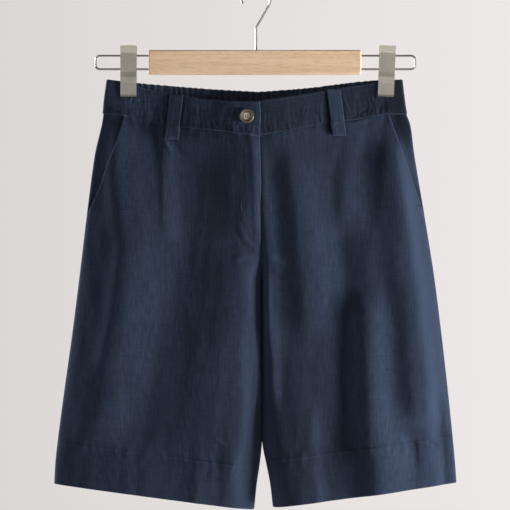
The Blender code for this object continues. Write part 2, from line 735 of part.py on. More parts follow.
def hanger():
    """Wooden bar, wire loops let into its ends, and a hook let into its top."""
    middle = (BAR_LEFT_END + BAR_RIGHT_END) / 2
    bar = block("hanger_bar", (BAR_RIGHT_END - BAR_LEFT_END, BAR_THICK, BAR_TOP - BAR_BOTTOM),
                (middle, 0, (BAR_TOP + BAR_BOTTOM) / 2), beech, 0.0015)

    for side, end in ((RIGHT, BAR_LEFT_END), (LEFT, BAR_RIGHT_END)):
        seat = end - side * WIRE_SEAT
        upper, lower = WIRE_HEIGHTS
        tip = WIRE_ENDS[side] - side * WIRE_RADIUS
        bend = tip - side * WIRE_CORNER
        corner_up = arc((bend, upper - WIRE_CORNER), WIRE_CORNER, 90, 90 - side * 90, 5)
        corner_down = arc((bend, lower + WIRE_CORNER), WIRE_CORNER,
                          90 - side * 90, 90 - side * 180, 5)
        route = [(seat, 0, upper)] + corner_up + corner_down + [(seat, 0, lower)]
        rod("hanger_wire_" + name_of(side), route, WIRE_RADIUS, steel)
        for height in WIRE_HEIGHTS:
            drill_name = f"wire_hole_{name_of(side)}_{WIRE_HEIGHTS.index(height)}"
            cut(bar, drill(drill_name, (end + side * 0.002, 0, height),
                           (seat - side * SEAM, 0, height), WIRE_RADIUS + SEAM))

    crook_centre = (0, -CROOK_RADIUS + HOOK_RADIUS)
    drop = crook_centre[1] - HOOK_BEND
    leave = math.degrees(math.acos(CROOK_RADIUS / drop))
    crook = arc(crook_centre, CROOK_RADIUS, leave - 90, 200, 24)
    foot = BAR_TOP - HOOK_SEAT
    rod("hanger_hook", [(0, 0, foot), (0, 0, HOOK_BEND)] + crook, HOOK_RADIUS, steel)
    cut(bar, drill("hook_hole", (0, 0, BAR_TOP + 0.002), (0, 0, foot - SEAM),
                   HOOK_RADIUS + SEAM))


def clip(spec):
    """A slider on the two wires, and two jaws that close on the waistband."""
    name = name_of(spec.side)
    tilt = Matrix.Rotation(spec.tilt, 4, "Y")
    centre = Vector((spec.across, 0, CLIP_MIDDLE))
    slider = block("clip_slider_" + name, (SLIDER_WIDTH, SLIDER_THICK, SLIDER_HEIGHT),
                   centre, steel, 0.0008)
    slider.rotation_euler = (0, spec.tilt, 0)
    for n, height in enumerate(WIRE_HEIGHTS):
        half = SLIDER_WIDTH
        cut(slider, drill(f"slider_hole_{name}_{n}", (spec.across - half, 0, height),
                          (spec.across + half, 0, height), WIRE_RADIUS + SEAM))
    for face, which in ((FRONT, "front"), (BACK, "back")):
        outline = bpy.data.curves.new("jaw", "CURVE")
        outline.dimensions = "2D"
        outline.fill_mode = "BOTH"
        outline.extrude = CLIP_WIDTH / 2
        line = outline.splines.new("POLY")
        line.use_cyclic_u = True
        inside = [(bend.height - CLIP_MIDDLE, bend.out) for bend in JAW_LINE]
        outside = [(height, out + JAW) for height, out in reversed(inside)]
        line.points.add(len(inside + outside) - 1)
        for point, (height, out) in zip(line.points, inside + outside):
            point.co = (face * out, height, 0, 1)
        jaw = place_object("jaw", outline, steel)
        stand = Matrix.Rotation(math.radians(90), 4, "Z") @ Matrix.Rotation(
            math.radians(90), 4, "X")
        jaw.matrix_world = Matrix.Translation(centre) @ tilt @ stand
        solid_of(jaw, f"clip_jaw_{name}_{which}", steel)


def button():
    """A dished four-hole button, turned from its profile, standing on the right band."""
    rim = BUTTON_THICK
    profile = ((0, 0), (0.82, 0), (0.97, 0.35), (1.0, 0.6), (0.96, 0.9), (0.88, 1.0),
               (0.76, 0.95), (0.64, 0.66), (0.5, 0.62), (0, 0.62))
    mesh = bmesh.new()
    points = [mesh.verts.new((r * BUTTON_RADIUS, 0, t * rim)) for r, t in reversed(profile)]
    for one, two in zip(points, points[1:]):
        mesh.edges.new((one, two))
    data = bpy.data.meshes.new("button")
    mesh.to_mesh(data)
    mesh.free()
    made = place_object("button", data, horn)
    turn = made.modifiers.new("turn", "SCREW")
    turn.steps = turn.render_steps = 28
    turn.use_merge_vertices = True
    turn.merge_threshold = 0.00001
    turn.use_normal_calculate = True

    def band(dx, dz):
        return on_cloth(FRONT, BUTTON_ACROSS + dx, BUTTON_HEIGHT + dz, 2 * BAND + SEAM)

    reach = BUTTON_RADIUS
    across = band(reach, 0) - band(-reach, 0)
    up = band(0, reach) - band(0, -reach)
    out = across.cross(up).normalized()
    around = [math.radians(30 * n) for n in range(12)]
    proud = max((band(reach * math.cos(a), reach * math.sin(a)) - band(0, 0)).dot(out)
                for a in around)
    seat = band(0, 0) + out * (proud + SEAM)
    made.location = seat
    made.rotation_euler = out.to_track_quat("Z", "Y").to_euler()
    for n in range(4):
        angle = math.radians(45 + 90 * n)
        hole = (seat + across.normalized() * BUTTON_HOLE_SPREAD * math.cos(angle)
                + up.normalized() * BUTTON_HOLE_SPREAD * math.sin(angle))
        cut(made, drill(f"button_hole_{n}", hole - out * 0.002, hole + out * (rim + 0.002),
                        BUTTON_HOLE))
    return made


# ---------------------------------------------------------------- build

for old in list(bpy.data.objects):
    bpy.data.objects.remove(old)
parts = bpy.data.collections.new("bermuda_shorts")
cutters = bpy.data.collections.new("cutters")
bpy.context.scene.collection.children.link(parts)
bpy.context.scene.collection.children.link(cutters)

linen = material("navy_linen", (0.022, 0.032, 0.058), 0.85)
beech = material("beech", (0.62, 0.42, 0.25), 0.5)
steel = material("brushed_steel", (0.55, 0.53, 0.49), 0.35, 1.0)
horn = material("horn", (0.20, 0.15, 0.11), 0.3)

for side in (RIGHT, LEFT):
    panel(side, FRONT, FRONT_COLUMNS)
    panel(side, BACK, BACK_COLUMNS)
    pocket_facing(side)
    waistband_front(side)
    hem(side)
fly_underlap()
waistband_back()
for carrier in LOOPS:
    belt_loop(carrier)
button()
hanger()
for spec in CLIPS:
    clip(spec)
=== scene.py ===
"""Bermuda shorts of dark blue linen, held by the waistband on a clip hanger.

Metres, +Z up, the front at -Y and the wearer's right at -X. The origin is the inside
top of the hanger's hook. The cloth is built in the order in which it is sewn.
"""
import math
from collections import namedtuple

import bmesh
import bpy
import numpy as np
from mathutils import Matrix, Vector


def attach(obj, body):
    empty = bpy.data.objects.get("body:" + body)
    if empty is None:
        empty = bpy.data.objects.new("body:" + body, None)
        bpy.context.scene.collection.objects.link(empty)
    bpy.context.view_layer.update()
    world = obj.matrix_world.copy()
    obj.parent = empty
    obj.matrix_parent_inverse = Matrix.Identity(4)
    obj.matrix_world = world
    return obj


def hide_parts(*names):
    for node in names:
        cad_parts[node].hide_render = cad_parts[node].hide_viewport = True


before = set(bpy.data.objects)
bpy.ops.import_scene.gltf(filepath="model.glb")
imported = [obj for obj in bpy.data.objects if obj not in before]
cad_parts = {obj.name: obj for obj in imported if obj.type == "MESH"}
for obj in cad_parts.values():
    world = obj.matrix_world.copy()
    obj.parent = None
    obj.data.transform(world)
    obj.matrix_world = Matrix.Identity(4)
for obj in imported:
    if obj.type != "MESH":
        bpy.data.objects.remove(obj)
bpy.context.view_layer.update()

RIGHT, LEFT = -1, 1
FRONT, BACK = -1, 1


# ---------------------------------------------------------------- fronts
# The two fronts are cut from mid-weight linen with the grain down the leg, in one
# length from the waistband seam to the fold of the hem. They hang in soft folds.

CLOTH = 0.0013          # one layer of linen
BAND = 0.0024           # waistband, two layers with its stiffening
SEAM = 0.0003
SEWN_GAP = 0.0001       # what shows between two pieces where a seam closes them
FOLD_GAP = 0.0005
FLY_END = -0.323
CROTCH = -0.361

Sides = namedtuple("Sides", "height right left")
OUTLINE = (
    Sides(-0.117, -0.1850, 0.1815),
    Sides(-0.142, -0.1885, 0.1845),
    Sides(-0.158, -0.1900, 0.1870),
    Sides(-0.174, -0.1925, 0.1925),
    Sides(-0.211, -0.2010, 0.1975),
    Sides(-0.286, -0.2110, 0.2100),
    Sides(-0.361, -0.2200, 0.2220),
    Sides(-0.436, -0.2295, 0.2315),
    Sides(-0.511, -0.2400, 0.2400),
    Sides(-0.586, -0.2495, 0.2475),
    Sides(-0.625, -0.2520, 0.2505),
)
Middle = namedtuple("Middle", "height across")
CENTRE = (
    Middle(-0.143, 0.0030),
    Middle(-0.160, 0.0045),
    Middle(-0.188, 0.0035),
    Middle(-0.232, 0.0045),
    Middle(-0.323, 0.0060),
    Middle(-0.361, 0.0075),
)
INSEAMS = (             # the legs press on each other down to where they part
    Sides(-0.361, 0.0077, 0.0073),
    Sides(-0.552, 0.0078, 0.0072),
    Sides(-0.568, 0.0075, 0.0076),
    Sides(-0.579, 0.0066, 0.0092),
    Sides(-0.596, 0.0046, 0.0128),
    Sides(-0.622, 0.0008, 0.0178),
    Sides(-0.652, -0.0022, 0.0212),
)
Depth = namedtuple("Depth", "height front_right front_left back pinch")
DEPTHS = (
    Depth(-0.117, 0.015, 0.015, 0.015, 1.00),
    Depth(-0.160, 0.019, 0.019, 0.020, 0.90),
    Depth(-0.190, 0.023, 0.023, 0.025, 0.60),
    Depth(-0.230, 0.026, 0.026, 0.030, 0.25),
    Depth(-0.286, 0.028, 0.028, 0.033, 0.00),
    Depth(-0.361, 0.029, 0.029, 0.033, 0.00),
    Depth(-0.450, 0.028, 0.031, 0.032, 0.00),
    Depth(-0.540, 0.026, 0.032, 0.031, 0.00),
    Depth(-0.652, 0.025, 0.032, 0.030, 0.00),
)
PINCH_REACH = 0.040
# How far from a leg's inner edge its front and its back start to turn in
Turn = namedtuple("Turn", "height front_right front_left back_right back_left")
LEG_TURNS = (
    Turn(-0.361, 0.024, 0.009, 0.040, 0.036),
    Turn(-0.420, 0.016, 0.010, 0.042, 0.038),
    Turn(-0.460, 0.010, 0.014, 0.046, 0.042),
    Turn(-0.500, 0.010, 0.018, 0.050, 0.046),
    Turn(-0.530, 0.022, 0.026, 0.052, 0.048),
    Turn(-0.560, 0.036, 0.030, 0.055, 0.050),
    Turn(-0.600, 0.048, 0.036, 0.060, 0.056),
)
LEG_TURN_POWER = 2.5
LEGS_LEAVE = 1 / 6
CROTCH_SOFT = 0.012     # the turn from trunk to legs is eased over this height
HOLLOW, HOLLOW_REACH = 0.0050, 0.010    # the cloth sinks along the seam above the crotch
HOLLOW_START = -0.262
SIDE_ROUND = {"upper": 1.00, "lower": 0.55}
SIDE_ROUND_START, SIDE_ROUND_LENGTH = -0.25, 0.17

Edge = namedtuple("Edge", "share right left")
# Upper edge and seam of the waistband
WAIST_TOPS = {
    FRONT: (
        Edge(0.00, -0.117, -0.117),
        Edge(0.16, -0.124, -0.120),
        Edge(0.31, -0.131, -0.124),
        Edge(0.50, -0.137, -0.130),
        Edge(0.66, -0.142, -0.135),
        Edge(0.83, -0.145, -0.140),
        Edge(1.00, -0.145, -0.144),
    ),
    BACK: (
        Edge(0.00, -0.117, -0.117),
        Edge(0.18, -0.121, -0.118),
        Edge(0.36, -0.124, -0.121),
        Edge(0.65, -0.128, -0.127),
        Edge(1.00, -0.1315, -0.1315),
    ),
}
WAIST_SEAMS = {
    FRONT: (
        Edge(0.00, -0.160, -0.160),
        Edge(0.15, -0.163, -0.161),
        Edge(0.37, -0.173, -0.168),
        Edge(0.60, -0.179, -0.174),
        Edge(0.80, -0.183, -0.181),
        Edge(1.00, -0.189, -0.188),
    ),
    BACK: (
        Edge(0.00, -0.160, -0.160),
        Edge(0.30, -0.165, -0.164),
        Edge(0.65, -0.172, -0.171),
        Edge(1.00, -0.176, -0.176),
    ),
}
HEM = (
    Edge(0.00, -0.6205, -0.619),
    Edge(1.00, -0.6520, -0.649),
)
HEM_DEPTH = {RIGHT: 0.052, LEFT: 0.057}

Mouth = namedtuple("Mouth", "height right left")
POCKET = (
    Mouth(-0.160, -0.1635, 0.1655),
    Mouth(-0.193, -0.1730, 0.1770),
    Mouth(-0.217, -0.1815, 0.1850),
    Mouth(-0.240, -0.1895, 0.1925),
    Mouth(-0.264, -0.1995, 0.2015),
)
POCKET_TOP, POCKET_END = -0.165, -0.286
POCKET_GAPE = {RIGHT: 0.0016, LEFT: 0.0006}     # the mouth stands off its facing half way
GAPE_REACH = 0.014

# Belt loops: places across at their top and at their folded end, and what they stand clear
Carrier = namedtuple("Carrier", "name face across_top across_low clear")
LOOPS = (
    Carrier("belt_loop_front_right", FRONT, -0.0985, -0.1048, 0.0),
    Carrier("belt_loop_front_left", FRONT, 0.0957, 0.1032, 0.0),
    Carrier("belt_loop_back_right", BACK, -0.0940, -0.0960, 0.0010),
    Carrier("belt_loop_back_middle", BACK, 0.0040, 0.0040, 0.0010),
    Carrier("belt_loop_back_left", BACK, 0.0960, 0.0980, 0.0010),
)
LOOP_WIDTH, LOOP_TAIL = 0.0172, 0.0165
BAND_DEPTH = 0.043

# Rows of stitches down the fly, as places across and heights
FLY_ROWS = (
    ((-0.0235, -0.1890), (-0.0225, -0.2300), (-0.0210, -0.2750), (-0.0175, -0.3040),
     (-0.0095, -0.3180), (0.0030, -0.3215)),
    ((-0.0172, -0.1900), (-0.0165, -0.2300), (-0.0152, -0.2700), (-0.0125, -0.2960),
     (-0.0065, -0.3080), (0.0030, -0.3120)),
)

# Folds through three points of a line, with a width on each side of it: a crest
# rises, a trough has a rise below 0
Fold = namedtuple("Fold", "face top across_top mid across_mid low across_low right left rise")
FOLDS = (
    Fold(FRONT, -0.145, -0.1730, -0.360, -0.1620, -0.590, -0.2150, 0.028, 0.037, 0.0068),
    Fold(FRONT, -0.185, -0.0690, -0.392, -0.1005, -0.590, -0.1560, 0.030, 0.040, -0.0064),
    Fold(FRONT, -0.322, -0.0240, -0.430, -0.0190, -0.660, -0.0470, 0.048, 0.023, 0.0044),
    Fold(FRONT, -0.400, -0.0500, -0.540, -0.0550, -0.700, -0.0650, 0.100, 0.060, 0.0056),
    Fold(FRONT, -0.170, -0.0005, -0.300, 0.0265, -0.540, 0.0200, 0.009, 0.018, -0.0028),
    Fold(FRONT, -0.190, 0.0400, -0.373, 0.0600, -0.455, 0.0650, 0.018, 0.024, 0.0050),
    Fold(FRONT, -0.270, 0.0980, -0.417, 0.1110, -0.610, 0.0960, 0.020, 0.018, -0.0056),
    Fold(FRONT, -0.160, 0.1410, -0.235, 0.1400, -0.315, 0.1500, 0.016, 0.024, -0.0030),
    Fold(FRONT, -0.370, 0.1360, -0.480, 0.1400, -0.700, 0.1560, 0.020, 0.021, 0.0096),
    Fold(FRONT, -0.340, 0.1700, -0.492, 0.1725, -0.640, 0.2120, 0.016, 0.016, -0.0026),
    Fold(FRONT, -0.180, 0.1700, -0.350, 0.1910, -0.565, 0.2140, 0.036, 0.020, 0.0124),
    Fold(BACK, -0.210, -0.1500, -0.390, -0.1600, -0.610, -0.1900, 0.018, 0.030, 0.0050),
    Fold(BACK, -0.220, -0.1050, -0.380, -0.1120, -0.560, -0.1300, 0.022, 0.026, -0.0050),
    Fold(BACK, -0.205, -0.0600, -0.400, -0.0660, -0.660, -0.0800, 0.026, 0.018, 0.0052),
    Fold(BACK, -0.260, 0.0260, -0.420, 0.0300, -0.600, 0.0400, 0.012, 0.018, -0.0038),
    Fold(BACK, -0.210, 0.0550, -0.390, 0.0600, -0.630, 0.0720, 0.018, 0.026, 0.0052),
    Fold(BACK, -0.230, 0.0950, -0.400, 0.1040, -0.560, 0.1120, 0.024, 0.022, -0.0052),
    Fold(BACK, -0.205, 0.1400, -0.400, 0.1500, -0.640, 0.1760, 0.026, 0.018, 0.0046),
)
SMALL_FOLDS = (
    Fold(FRONT, -0.150, -0.1130, -0.225, -0.1140, -0.345, -0.1100, 0.006, 0.013, 0.0026),
    Fold(FRONT, -0.130, -0.1720, -0.230, -0.1770, -0.330, -0.1720, 0.010, 0.018, 0.0036),
    Fold(FRONT, -0.290, -0.1640, -0.373, -0.1720, -0.500, -0.2000, 0.011, 0.030, 0.0052),
    Fold(FRONT, -0.160, -0.0130, -0.230, -0.0125, -0.320, -0.0110, 0.012, 0.013, 0.0020),
    Fold(FRONT, -0.180, -0.0270, -0.225, -0.0290, -0.290, -0.0270, 0.010, 0.008, 0.0009),
    Fold(FRONT, -0.400, -0.0800, -0.500, -0.0930, -0.590, -0.1080, 0.011, 0.011, -0.0008),
    Fold(FRONT, -0.170, -0.0030, -0.373, 0.0085, -0.470, 0.0140, 0.006, 0.009, 0.0034),
    Fold(FRONT, -0.175, -0.0170, -0.235, -0.0155, -0.310, -0.0110, 0.0022, 0.003, -0.0006),
    Fold(FRONT, -0.160, 0.1280, -0.242, 0.1130, -0.330, 0.1060, 0.012, 0.010, 0.0018),
    Fold(FRONT, -0.200, 0.0900, -0.250, 0.0910, -0.320, 0.0930, 0.012, 0.010, -0.0012),
    Fold(FRONT, -0.500, 0.0630, -0.598, 0.0690, -0.700, 0.0760, 0.034, 0.012, 0.0056),
    Fold(FRONT, -0.535, 0.1640, -0.600, 0.1670, -0.700, 0.1690, 0.020, 0.018, 0.0042),
    Fold(FRONT, -0.485, 0.2195, -0.600, 0.2325, -0.690, 0.2400, 0.010, 0.009, -0.0058),
    Fold(FRONT, -0.380, 0.2230, -0.520, 0.2370, -0.680, 0.2480, 0.0024, 0.0024, -0.0016),
    Fold(FRONT, -0.545, -0.0700, -0.605, -0.0730, -0.680, -0.0740, 0.009, 0.008, 0.0018),
    Fold(FRONT, -0.570, -0.0480, -0.610, -0.0470, -0.670, -0.0470, 0.007, 0.008, -0.0008),
    Fold(FRONT, -0.545, -0.0320, -0.605, -0.0290, -0.680, -0.0290, 0.009, 0.011, 0.0022),
    Fold(BACK, -0.200, -0.1280, -0.270, -0.1320, -0.380, -0.1350, 0.009, 0.009, 0.0016),
    Fold(BACK, -0.195, -0.0850, -0.260, -0.0870, -0.350, -0.0830, 0.010, 0.010, -0.0015),
    Fold(BACK, -0.330, -0.0300, -0.430, -0.0360, -0.560, -0.0420, 0.010, 0.010, 0.0014),
    Fold(BACK, -0.195, 0.0760, -0.260, 0.0790, -0.360, 0.0820, 0.009, 0.009, 0.0015),
    Fold(BACK, -0.200, 0.1180, -0.280, 0.1210, -0.390, 0.1290, 0.010, 0.010, -0.0015),
    Fold(BACK, -0.420, 0.1290, -0.520, 0.1340, -0.640, 0.1460, 0.011, 0.011, 0.0016),
    Fold(BACK, -0.430, -0.1480, -0.530, -0.1560, -0.650, -0.1700, 0.010, 0.010, -0.0014),
)
FOLD_FADE = 0.050
SEAM_CALM, SMALL_CALM = 0.025, 0.008

# Short creases between two points
Crease = namedtuple("Crease", "face across height across_end height_end width rise")
CREASES = (
    Crease(FRONT, -0.1160, -0.190, -0.1040, -0.210, 0.0024, 0.0015),
    Crease(FRONT, -0.1050, -0.190, -0.0900, -0.215, 0.0030, -0.0008),
    Crease(FRONT, -0.0230, -0.291, -0.0110, -0.322, 0.0017, 0.0012),
    Crease(FRONT, -0.0190, -0.288, -0.0060, -0.312, 0.0015, 0.0010),
    Crease(FRONT, -0.0260, -0.302, -0.0130, -0.330, 0.0018, -0.0008),
    Crease(FRONT, -0.0120, -0.315, 0.0020, -0.334, 0.0018, 0.0013),
    Crease(FRONT, -0.0200, -0.334, 0.0040, -0.326, 0.0020, -0.0009),
    Crease(FRONT, -0.0330, -0.345, -0.0020, -0.333, 0.0040, 0.0010),
    Crease(FRONT, 0.0440, -0.350, 0.0090, -0.334, 0.0045, 0.0011),
    Crease(FRONT, 0.0360, -0.371, 0.0100, -0.350, 0.0040, -0.0009),
    Crease(FRONT, -0.0540, -0.560, -0.0350, -0.573, 0.0022, 0.0010),
    Crease(FRONT, -0.0590, -0.588, -0.0598, -0.616, 0.0014, -0.0012),
    Crease(FRONT, 0.2080, -0.560, 0.2290, -0.579, 0.0035, -0.0014),
    Crease(FRONT, 0.1800, -0.556, 0.1850, -0.588, 0.0030, 0.0012),
    Crease(FRONT, 0.1960, -0.556, 0.1990, -0.600, 0.0030, -0.0010),
    Crease(FRONT, 0.1150, -0.176, 0.1560, -0.160, 0.0035, 0.0010),
    Crease(FRONT, 0.1130, -0.168, 0.1450, -0.151, 0.0030, -0.0008),
    Crease(BACK, -0.0400, -0.352, -0.0060, -0.338, 0.0045, 0.0012),
    Crease(BACK, 0.0460, -0.354, 0.0120, -0.340, 0.0045, 0.0012),
    Crease(BACK, 0.0360, -0.372, 0.0110, -0.352, 0.0040, -0.0010),
    Crease(BACK, -0.0330, -0.374, -0.0020, -0.354, 0.0040, -0.0010),
)

# Puckers that a row of stitches draws up: their spacing, reach and height, and how much
# their crests are rubbed pale, which also sets the painted shade between them
Pucker = namedtuple("Pucker", "pitch reach rise rub")
WAIST_PUCKER = Pucker(0.0105, 0.0090, 0.00075, 0.45)
HEM_PUCKER = Pucker(0.0110, 0.0080, 0.00055, 0.65)
BAND_PUCKER = Pucker(0.0058, 0.0085, 0.00040, 0.85)
EDGE_PUCKER = Pucker(0.0048, 0.0034, 0.00022, 0.75)
# painted shade along the row between the puckers' crests, as a share of their rub
PUCKER_VALLEY_PAINTED_SHADE = 0.45
CREASE_RUB_AND_SHADE = 250        # share rubbed pale for each metre that a crease stands up, and painted shade for each metre that one sinks
LOOP_PAINTED_SHADE = -0.85      # painted shade on the cloth beside the belt loops, strongest this far from their edge
LOOP_PAINTED_SHADE_AT, LOOP_PAINTED_SHADE_WIDTH, LOOP_END_PAINTED_SHADE = 0.0009, 0.0012, 0.0016

# Soft patches of the fronts darkened with painted shade, or lightened with painted light below
# 0
PaintedShadePatch = namedtuple("PaintedShadePatch", "side across height half_across half_down deeper")
PAINTED_SHADE_PATCHES = (
    PaintedShadePatch(RIGHT, -0.0480, -0.345, 0.032, 0.085, 0.34),
    PaintedShadePatch(RIGHT, -0.0560, -0.255, 0.022, 0.040, 0.20),
    PaintedShadePatch(RIGHT, -0.1480, -0.232, 0.022, 0.040, -0.07),
    PaintedShadePatch(RIGHT, -0.0280, -0.590, 0.050, 0.100, 0.27),
    PaintedShadePatch(RIGHT, -0.0100, -0.327, 0.014, 0.018, 0.22),
    PaintedShadePatch(RIGHT, -0.1900, -0.235, 0.011, 0.035, 0.30),
    PaintedShadePatch(LEFT, 0.0750, -0.205, 0.080, 0.045, 0.28),
    PaintedShadePatch(LEFT, 0.0120, -0.190, 0.008, 0.035, 0.45),
    PaintedShadePatch(LEFT, 0.0520, -0.555, 0.050, 0.090, 0.40),
    PaintedShadePatch(LEFT, 0.1600, -0.500, 0.022, 0.110, -0.09),
    PaintedShadePatch(LEFT, 0.1700, -0.320, 0.014, 0.090, 0.22),
)
CRUMPLE_WAVES = 22
CRUMPLE_RISE = 0.00015
ON_SEAM = 1e-6          # shares this close to 0 or 1 are on a seam, where cloth lies square
ROUNDS = 8              # shares and heights of a grid settle on each other in these


def name_of(side):
    return "right" if side == RIGHT else "left"


def between(values, slopes, i, span, t):
    """A smooth curve, t of the way from the value at i to the next one."""
    rising = t * t * (3 - 2 * t)
    return (values[i] * (1 - rising) + values[i + 1] * rising
            + slopes[i] * span * t * (1 - t) ** 2 - slopes[i + 1] * span * t * t * (1 - t))


def read(table, at, column):
    """One column of a table at points of its first column, on a smooth curve."""
    keys = np.array([row[0] for row in table])
    values = np.array([getattr(row, column) for row in table])
    turn = 1 if keys[-1] > keys[0] else -1
    keys = keys * turn
    at = np.clip(np.asarray(at, float) * turn, keys[0], keys[-1])
    slopes = np.gradient(values, keys)
    slopes[1:-1] = (values[2:] - values[:-2]) / (keys[2:] - keys[:-2])
    i = np.clip(np.searchsorted(keys, at) - 1, 0, len(keys) - 2)
    span = keys[i + 1] - keys[i]
    return between(values, slopes, i, span, (at - keys[i]) / span)


def bell(off, width):
    """1 in the middle of a ridge or line, falling away smoothly on both sides."""
    return np.exp(-(off / width) ** 2)


def ease(t):
    """0 below 0, 1 above 1, and smooth between."""
    t = np.clip(t, 0.0, 1.0)
    return t * t * (3 - 2 * t)


def leg_share(z):
    """0 where the trunk is one tube, 1 where the legs are two."""
    around = np.linspace(-CROTCH_SOFT, CROTCH_SOFT, 7)
    t = np.clip((FLY_END - np.asarray(z)[..., None] - around) / (FLY_END - CROTCH), 0.0, 1.0)
    return np.mean(1 - np.sqrt(1 - t * t), axis=-1)


def side_edge(side, z):
    return read(OUTLINE, z, name_of(side)) - side * CLOTH


def inner_edge(side, z):
    """Centre seam above the crotch, inseam below it, at the inside of the cloth."""
    seam = read(CENTRE, z, "across") + side * SEWN_GAP / 2
    turned = ease(leg_share(z) / LEGS_LEAVE)
    leg = read(INSEAMS, z, name_of(side)) + side * CLOTH
    return seam * (1 - turned) + leg * turned


def width_of(side, z):
    return np.abs(inner_edge(side, z) - side_edge(side, z))


def across_at(side, f, z):
    """Place across of a share of the way from side seam to middle."""
    edge, inner = side_edge(side, z), inner_edge(side, z)
    return edge + (inner - edge) * f


def waist_seam(side, face, f):
    return read(WAIST_SEAMS[face], f, name_of(side))


def hem_fold(side, f):
    return read(HEM, f, name_of(side))


def hem_stitches(side, f):
    """Height of the row that holds the hem up."""
    return hem_fold(side, f) + HEM_DEPTH[side]


def panel_name(side, face):
    return ("front_" if face == FRONT else "back_") + name_of(side)


def folds(table, face, x, z):
    """Height of a table's folds on one face."""
    total = np.zeros(np.broadcast(x, z).shape)
    for fold in table:
        if fold.face != face:
            continue
        t = (z - fold.mid) / (fold.top - fold.mid)
        s = (z - fold.mid) / (fold.low - fold.mid)
        k = (fold.top - fold.mid) / (fold.low - fold.mid)
        across = (fold.across_mid * (1 - t) * (1 - s) + fold.across_top * t * (s - 1) / (k - 1)
                  + fold.across_low * s * (t - 1) / (1 / k - 1))
        fade = ease((fold.top - z) / FOLD_FADE) * ease((z - fold.low) / FOLD_FADE)
        width = np.where(x < across, fold.right, fold.left)
        total += fold.rise * fade * bell(x - across, width)
    return total


def creases(face, x, z):
    total = np.zeros(np.broadcast(x, z).shape)
    for crease in CREASES:
        if crease.face != face:
            continue
        dx, dz = crease.across_end - crease.across, crease.height_end - crease.height
        length = math.hypot(dx, dz)
        along = ((x - crease.across) * dx + (z - crease.height) * dz) / length ** 2
        off = ((x - crease.across) * dz - (z - crease.height) * dx) / length
        fade = ease(along / 0.35) * ease((1 - along) / 0.35)
        total += crease.rise * fade * bell(off, crease.width)
    return total


def pucker_row(kind, x, off, seed):
    """Uneven short ridges across a row of stitches; off is the height above the row."""
    draw = np.random.default_rng(seed)
    total = np.zeros(np.broadcast(x, off).shape)
    for n in range(int(0.27 / kind.pitch)):
        middle = -0.26 * (seed % 2) + (n + draw.uniform(-0.35, 0.35)) * kind.pitch
        rise = kind.rise * draw.uniform(0.25, 1.25)
        width = kind.pitch * draw.uniform(0.20, 0.34)
        lean = draw.uniform(-0.35, 0.35)
        reach = kind.reach * draw.uniform(0.6, 1.5)
        shape = bell(x - middle - lean * off, width)
        total += rise * shape * bell(off, reach)
    return total


def rubbed_and_shaded(kind, x, off, seed):
    """Rubbing and painted shade of a puckered row: above 0 on its crests, below 0 between them.
    """
    near = bell(off, kind.reach)
    return kind.rub * (pucker_row(kind, x, off, seed) / kind.rise - PUCKER_VALLEY_PAINTED_SHADE * near)


def panel_rows(side, face, f):
    """The puckered rows of a panel: their kind, height and seed."""
    seed = 20 + 4 * (face == BACK) + (side == RIGHT)
    return ((WAIST_PUCKER, waist_seam(side, face, f), seed),
            (HEM_PUCKER, hem_stitches(side, f), seed + 40))


def painted_shade_beside_loops(face, x, z, seam):
    """Painted shade close to a belt loop's edges and under its folded end."""
    total = np.zeros(np.broadcast(x, z).shape)
    length = BAND_DEPTH + LOOP_TAIL
    for carrier in LOOPS:
        if carrier.face != face:
            continue
        down = (seam + BAND_DEPTH - z) / length
        across = carrier.across_top + (carrier.across_low - carrier.across_top) * down
        off = np.abs(x - across) - LOOP_WIDTH / 2
        total += bell(off - LOOP_PAINTED_SHADE_AT, LOOP_PAINTED_SHADE_WIDTH) * ease((1 - down) * 20)
        total += bell((1 - down) * length, LOOP_END_PAINTED_SHADE) * ease(-off / 0.002)
    return LOOP_PAINTED_SHADE * np.minimum(total, 1.0)


# Painted shade from the patches, and painted light where a patch is below 0
def painted_shade_depth(side, x, z):
    return sum(patch.deeper * bell(x - patch.across, patch.half_across)
               * bell(z - patch.height, patch.half_down)
               for patch in PAINTED_SHADE_PATCHES if patch.side == side)


def crumple(face, x, z):
    """Soft unevenness all over, longer down the grain than across."""
    draw = np.random.default_rng(11 + face)
    total = np.zeros(np.broadcast(x, z).shape)
    for _ in range(CRUMPLE_WAVES):
        across = 2 * math.pi / draw.uniform(0.013, 0.045)
        down = 2 * math.pi / draw.uniform(0.080, 0.300) * draw.choice([-1, 1])
        total += np.sin(across * x + down * z + draw.uniform(0, 2 * math.pi))
    return CRUMPLE_RISE * total / math.sqrt(CRUMPLE_WAVES / 2)


